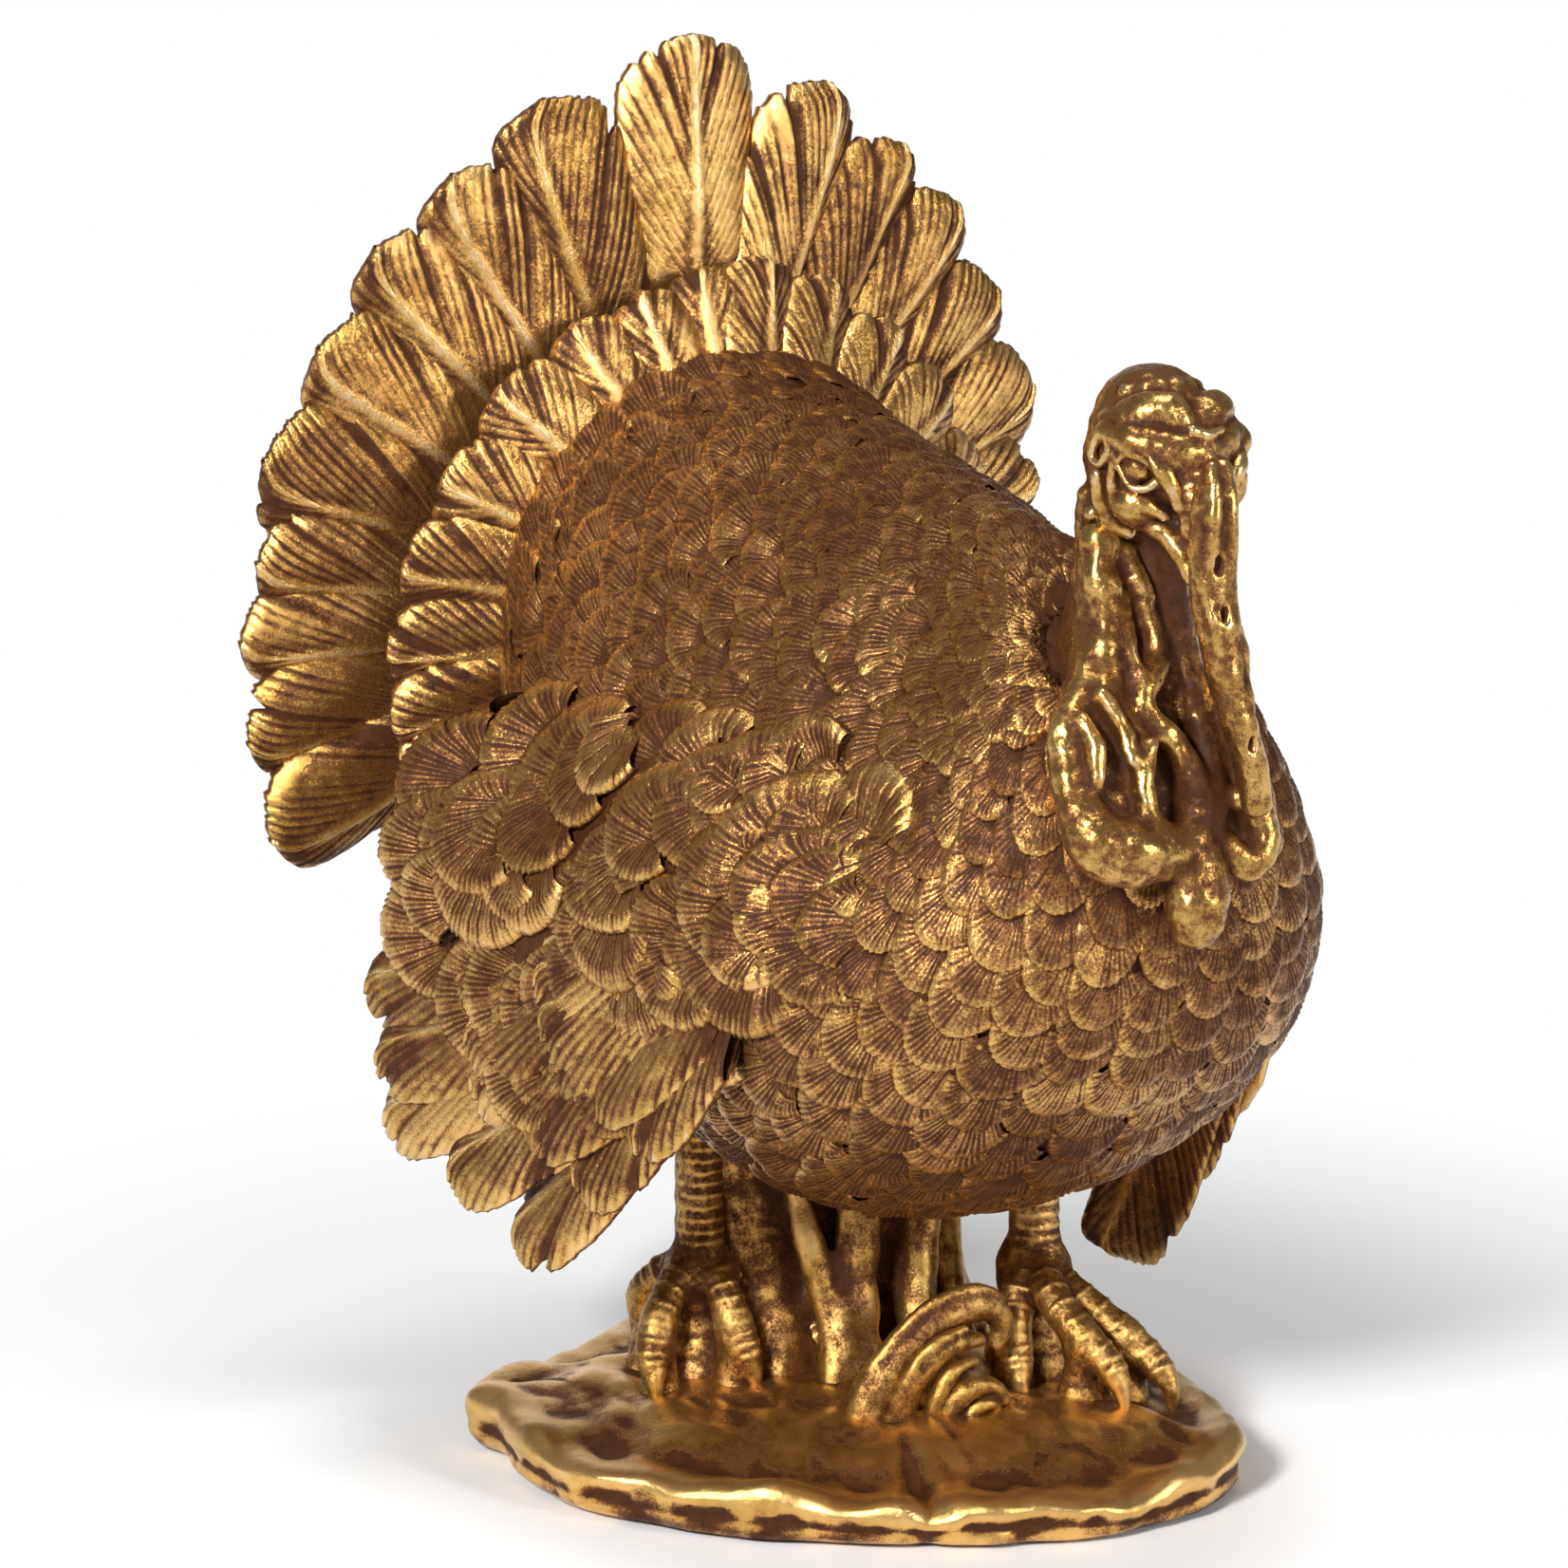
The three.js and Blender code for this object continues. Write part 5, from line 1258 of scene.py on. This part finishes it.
GROUND_MIDDLE, GROUND_HALF = np.array([-5.0, -11.0]), np.array([75.0, 78.0])
# How much fuller the ground's lower left is than the outline: turn in degrees, millimetres.
FULLER = [(146, 0), (153, 2), (168, 8.5), (180, 9.5), (205, 8), (216, 6), (225, 3), (236, 0)]
# The ground's outline from its left corner on, as shares of its half widths.
GROUND_EDGE = [
    [-1, 0.53], [-0.9, 0.15], [-0.72, -0.28], [-0.46, -0.66], [-0.14, -0.87], [0.26, -0.98],
    [0.61, -0.97], [0.82, -0.74], [0.93, -0.42], [1, 0], [0.97, 0.46], [0.7, 0.83],
    [0.24, 1], [-0.22, 0.97], [-0.6, 0.82], [-0.86, 0.74],
]
# Height of the lip at each point of that outline.
LIP_HEIGHT = [12.5, 12.4, 12.6, 11, 10.4, 9.6, 14, 13, 12, 12.5, 12.5, 12.5, 12, 12.5, 12, 12.5]
# Up the ground's side and over its rolled rim: inset from the outline and share of the lip's height.
RIM = [
    (3.2, 0.02), (2.3, 0.08), (1.6, 0.15), (1.3, 0.22), (1.2, 0.3), (1.3, 0.38), (1, 0.46), (0.5, 0.54),
    (0.1, 0.62), (0, 0.7), (0.2, 0.78), (0.9, 0.86), (1.9, 0.93), (3.2, 0.98), (4.8, 1), (6.6, 0.99),
]


def ground_height(x, y):
    across, along = (x - GROUND_MIDDLE[0]) / GROUND_HALF[0], (y - GROUND_MIDDLE[1]) / GROUND_HALF[1]
    return 12.5 + 6.5 * np.sqrt(np.clip(1 - across ** 2 - along ** 2, 0, 1))


def build_ground():
    columns = 420
    rows = np.column_stack([np.array(GROUND_EDGE), LIP_HEIGHT])
    rows = np.concatenate([rows[-2:], rows, rows[:3]])
    t = (2 + np.linspace(0, 1, columns, endpoint=False) * len(GROUND_EDGE)) / (len(rows) - 1)
    traced = spline(rows, t)
    outline, lip = traced[:, :2] * GROUND_HALF, traced[:, 2]
    ring = np.column_stack([outline + GROUND_MIDDLE, 0 * lip])
    lip = lip + 2.4 * noise(ring, 25, 21) + 1.0 * noise(ring, 11, 22)
    notch = np.exp(-(np.hypot(ring[:, 0] + 27, ring[:, 1] + 72) / 3.2) ** 2)
    lip = lip - 2.2 * notch
    outline = outline * (1 + (1.8 * noise(ring, 17, 23) + 0.8 * noise(ring, 8, 24))[:, None] / 75)
    reach = np.linalg.norm(outline, axis=-1)
    out = outline / reach[:, None]
    front = smooth(0.1, 0.8, -(out @ np.array([0.62, 0.78])))
    corner = smooth(0.86, 1.0, out @ np.array([-0.86, 0.51]))
    turned = np.degrees(np.arctan2(out[:, 1], out[:, 0])) % 360
    fuller = np.interp(turned, *zip(*FULLER))
    reach = reach + 5.5 * front + fuller - 3.0 * corner - 1.6 * notch
    rows = [(reach - inset, np.full(columns, 1.0)) for inset in (24, 6, 4.2)]
    for inset, share_up in RIM:
        rows.append((reach - inset, mix(1.0, lip, share_up)))
    for inward in np.linspace(0.012, 1, 76):
        radius = (reach - RIM[-1][0]) * (1 - inward)
        x, y = (out * radius[:, None] + GROUND_MIDDLE).T
        dish = lip + 7 * inward - 1.6 * np.sin(math.pi * np.clip(inward / 0.24, 0, 1))
        rows.append((radius, mix(dish, ground_height(x, y), smooth(0.04, 0.4, inward))))
    points = np.stack(
        [np.column_stack([out * radius[:, None] + GROUND_MIDDLE, height]) for radius, height in rows]
    )
    flat = points.reshape(-1, 3)
    up_rim = np.tile(lip, len(rows))
    above = smooth(0.56, 0.94, (flat[:, 2] - 1) / (up_rim - 1))
    bumps = 1.5 * noise(flat, 19, 31) + 1.3 * noise(flat, 9, 32)
    bumps += 0.3 * noise(flat * (1, 0.5, 1), 3.6, 33)
    crease = -0.35 * np.exp(-((noise(flat, 24, 34) / 0.1) ** 2))
    flat[:, 2] += above * (bumps + crease)
    rough = 0.9 * noise(flat * (1, 1, 1.6), 9, 35) + 0.4 * noise(flat, 3.5, 36)
    side = (1 - above) * smooth(1.2, 3, flat[:, 2])
    flat[:, :2] += (np.repeat(out[None], len(rows), 0).reshape(-1, 2)) * (rough * side)[:, None]
    faces = grid_faces(len(rows), columns, closed=True)
    near, far = (
        np.clip(standing(flat, faces, passes, scale), -0.6, 0.6) for passes, scale in ((4, 0.35),
        (40, 2.2))
    )
    relief = 0.5 + 0.6 * near + 0.8 * far
    inset = np.tile(reach, len(rows)) - np.linalg.norm(flat[:, :2] - GROUND_MIDDLE, axis=1)
    crest = np.exp(-(((inset - 4.2) / 5.0) ** 2)) * above
    patches = 0.34 * noise(flat * (1, 1, 1.8), 11, 38) + 0.2 * noise(flat, 4, 39)
    relief += (0.24 + patches) * crest + 0.04 * above - (0.5 - patches) * (1 - above)
    relief -= 0.25 * (1 - smooth(2.5, 5.0, flat[:, 2]))
    tone = 0.5 + 0.5 * noise(flat, 22, 37)
    mesh_piece("ground_carved", flat, faces, relief, tone, ground_gilt, "dark_gilt_resin", "ground")


build_head()
build_snood()
build_wattle()
build_leg("right_leg", (-34, 8), RIGHT_TOES, (-60, -20, 12), (-4, 30, 94))
build_leg("left_leg", (30, -28), LEFT_TOES, (8, -72, 11), (56, -6, 94))
build_trunk()
for order in range(3):
    build_leaf(order)
build_ground()


# Plain feathers on the rump's end and the wings' back edges

PLAIN_BARB = 1.7


def flat_scallop(patch, tip, ahead, normal, length, width, up):
    """A feather on a flat place, with the middle of its tip at a point."""
    barbs = max(5, round(width / PLAIN_BARB))
    along, across, height, relief = scallop(barbs, SCALLOP_ROOT, up, root_shade=0.2)
    run = ((along - 1) * length)[..., None] * ahead
    beside = (across * width)[..., None] * np.cross(ahead, normal)
    points = tip + run + beside + height[..., None] * normal
    patch.add(points, grid_faces(*height.shape)[:, ::-1], relief, random.uniform())


def build_rump():
    patch = Patch()
    ring = body_point(SKIN_END, np.linspace(0, 2 * math.pi, 200, endpoint=False), -SKIN_DEPTH)
    centre = ring.mean(0)
    normal = unit(np.cross(ring[50] - centre, ring[0] - centre))
    normal = normal * math.copysign(1, normal[1])
    for share in (1.07, 0.97, 0.83, 0.69, 0.55, 0.41, 0.27):
        for turn in np.arange(math.pi - 1.4, math.pi + 1.4, 0.24 / share):
            out = body_point(SKIN_END, turn + random.uniform(-0.04, 0.04), -SKIN_DEPTH) - centre
            tip = centre + share * out
            width, up = random.uniform(17, 20), random.uniform(0.8, 1.6)
            flat_scallop(patch, tip, unit(out), normal, 17, width, up)
    feather_piece("rump_feathers", patch, "body")


def build_wing_back(side):
    name, splay = WINGS[side]
    patch = Patch()
    for turn in np.arange(1.4, -1.0, -0.13):
        across = np.array([math.cos(turn), math.sin(turn)])
        y, z = SHOULDER_MIDDLE + SHOULDER_REACH * across * 0.98
        outer = float(wing_out(y, z, splay)) - 15 - 16 * float(smooth(-1, 9, z - shoulder_top(y)))
        inner = float(flank_out(y, z)) - 2
        if outer - inner < 5:
            continue
        ahead = unit(np.array([0, *(SHOULDER_REACH * across[::-1] * (1, -1))]))
        normal = unit(np.array([0, *(across / SHOULDER_REACH)]))
        count = int(math.ceil((outer - inner) / 11))
        for i in range(count + 1):
            x = mix(inner, outer, min(1, (i + random.uniform(-0.2, 0.2)) / count))
            tip = np.array([side * x, y, z])
            width, up = random.uniform(15, 18), random.uniform(0.8, 1.8)
            flat_scallop(patch, tip, ahead, normal, 16, width, up)
    feather_piece(name + "_wing_back", patch, name + "_wing")


build_rump()
for side in WINGS:
    build_wing_back(side)


# Stage, lights and camera

# The floor in metres: its size, and how far out it is lit by the lamps alone and where it is all white.
FLOOR_SIZE, FLOOR_LIT_TO, FLOOR_WHITE_FROM = 40, 0.1, 0.3
FLOOR_COLOUR = (0.88, 0.88, 0.88)

CAMERA_TARGET, CAMERA_AWAY = (-12.4, 7.8, 147), 1.2
CAMERA_TURN, CAMERA_RISE, CAMERA_ANGLE = -32, 13, 16.155
SENSOR = 36

# Lamps: place in metres, height that they are aimed at, size and power.
LAMPS = {
    "key": ((-1.3, -0.75, 0.95), 0.15, 0.34, 34),
    "front": ((0.55, -1.45, 0.6), 0.15, 0.4, 10),
    "top": ((0.1, -0.1, 1.6), 0.2, 0.4, 7),
    "back": ((0.6, 1.6, 0.5), 0.1, 1.2, 2),
}
WORLD_STRENGTH = 0.19


def build_stage():
    """A pale floor, lit by the lamps near the figure, where its shadow falls, and white further out."""
    bpy.ops.mesh.primitive_plane_add(size=FLOOR_SIZE, location=(0, 0, 0))
    floor = bpy.context.object
    floor.name = "floor"
    look = Shading("floor")
    matte = {"Base Color": (*FLOOR_COLOUR, 1), "Roughness": 0.9, "Specular IOR Level": 0.0}
    look.feed(look.shader, matte)
    reach = look.add("VectorMath", "Value", {0: look.place()}, operation="LENGTH")
    rays = look.nodes.new("ShaderNodeLightPath").outputs
    seen = rays["Is Camera Ray"]
    for key in ("Is Glossy Ray", "Is Transmission Ray"):
        seen = look.add("Math", 0, {0: seen, 1: rays[key]}, operation="MAXIMUM")
    white = look.span(reach, FLOOR_LIT_TO, FLOOR_WHITE_FROM)
    share = look.add("Math", 0, {0: seen, 1: white}, operation="MULTIPLY")
    glow = look.add("Emission", "Emission", {})
    lit = look.shader.outputs["BSDF"]
    surface = look.add("MixShader", "Shader", {0: share, 1: lit, 2: glow})
    look.feed(look.nodes["Material Output"], {"Surface": surface})
    floor.data.materials.append(look.material)


def area_light(name, place, aim_height, size, power):
    data = bpy.data.lights.new(name, "AREA")
    data.shape = "DISK"
    data.size = size
    data.energy = power
    lamp = bpy.data.objects.new(name, data)
    scene.collection.objects.link(lamp)
    lamp.location = place
    lamp.visible_camera = False
    way = Vector((0, 0, aim_height)) - Vector(place)
    lamp.rotation_euler = way.to_track_quat("-Z", "Y").to_euler()


def build_world():
    world = bpy.data.worlds.new("studio")
    scene.world = world
    world.use_nodes = True
    background = world.node_tree.nodes["Background"]
    background.inputs["Color"].default_value = (1, 1, 1, 1)
    background.inputs["Strength"].default_value = WORLD_STRENGTH


def build_camera():
    turn, rise = math.radians(CAMERA_TURN), math.radians(CAMERA_RISE)
    out = Vector((math.sin(turn) * math.cos(rise), -math.cos(turn) * math.cos(rise), math.sin(rise)))
    data = bpy.data.cameras.new("camera")
    data.sensor_width = SENSOR
    data.lens = SENSOR / 2 / math.tan(math.radians(CAMERA_ANGLE / 2))
    camera = bpy.data.objects.new("camera", data)
    scene.collection.objects.link(camera)
    camera.location = Vector(CAMERA_TARGET) * MM + out * CAMERA_AWAY
    camera.rotation_euler = (-out).to_track_quat("-Z", "Y").to_euler()
    scene.camera = camera


build_stage()
build_world()
build_camera()
for name, lamp in LAMPS.items():
    area_light(name, *lamp)
scene.view_settings.view_transform = "Standard"
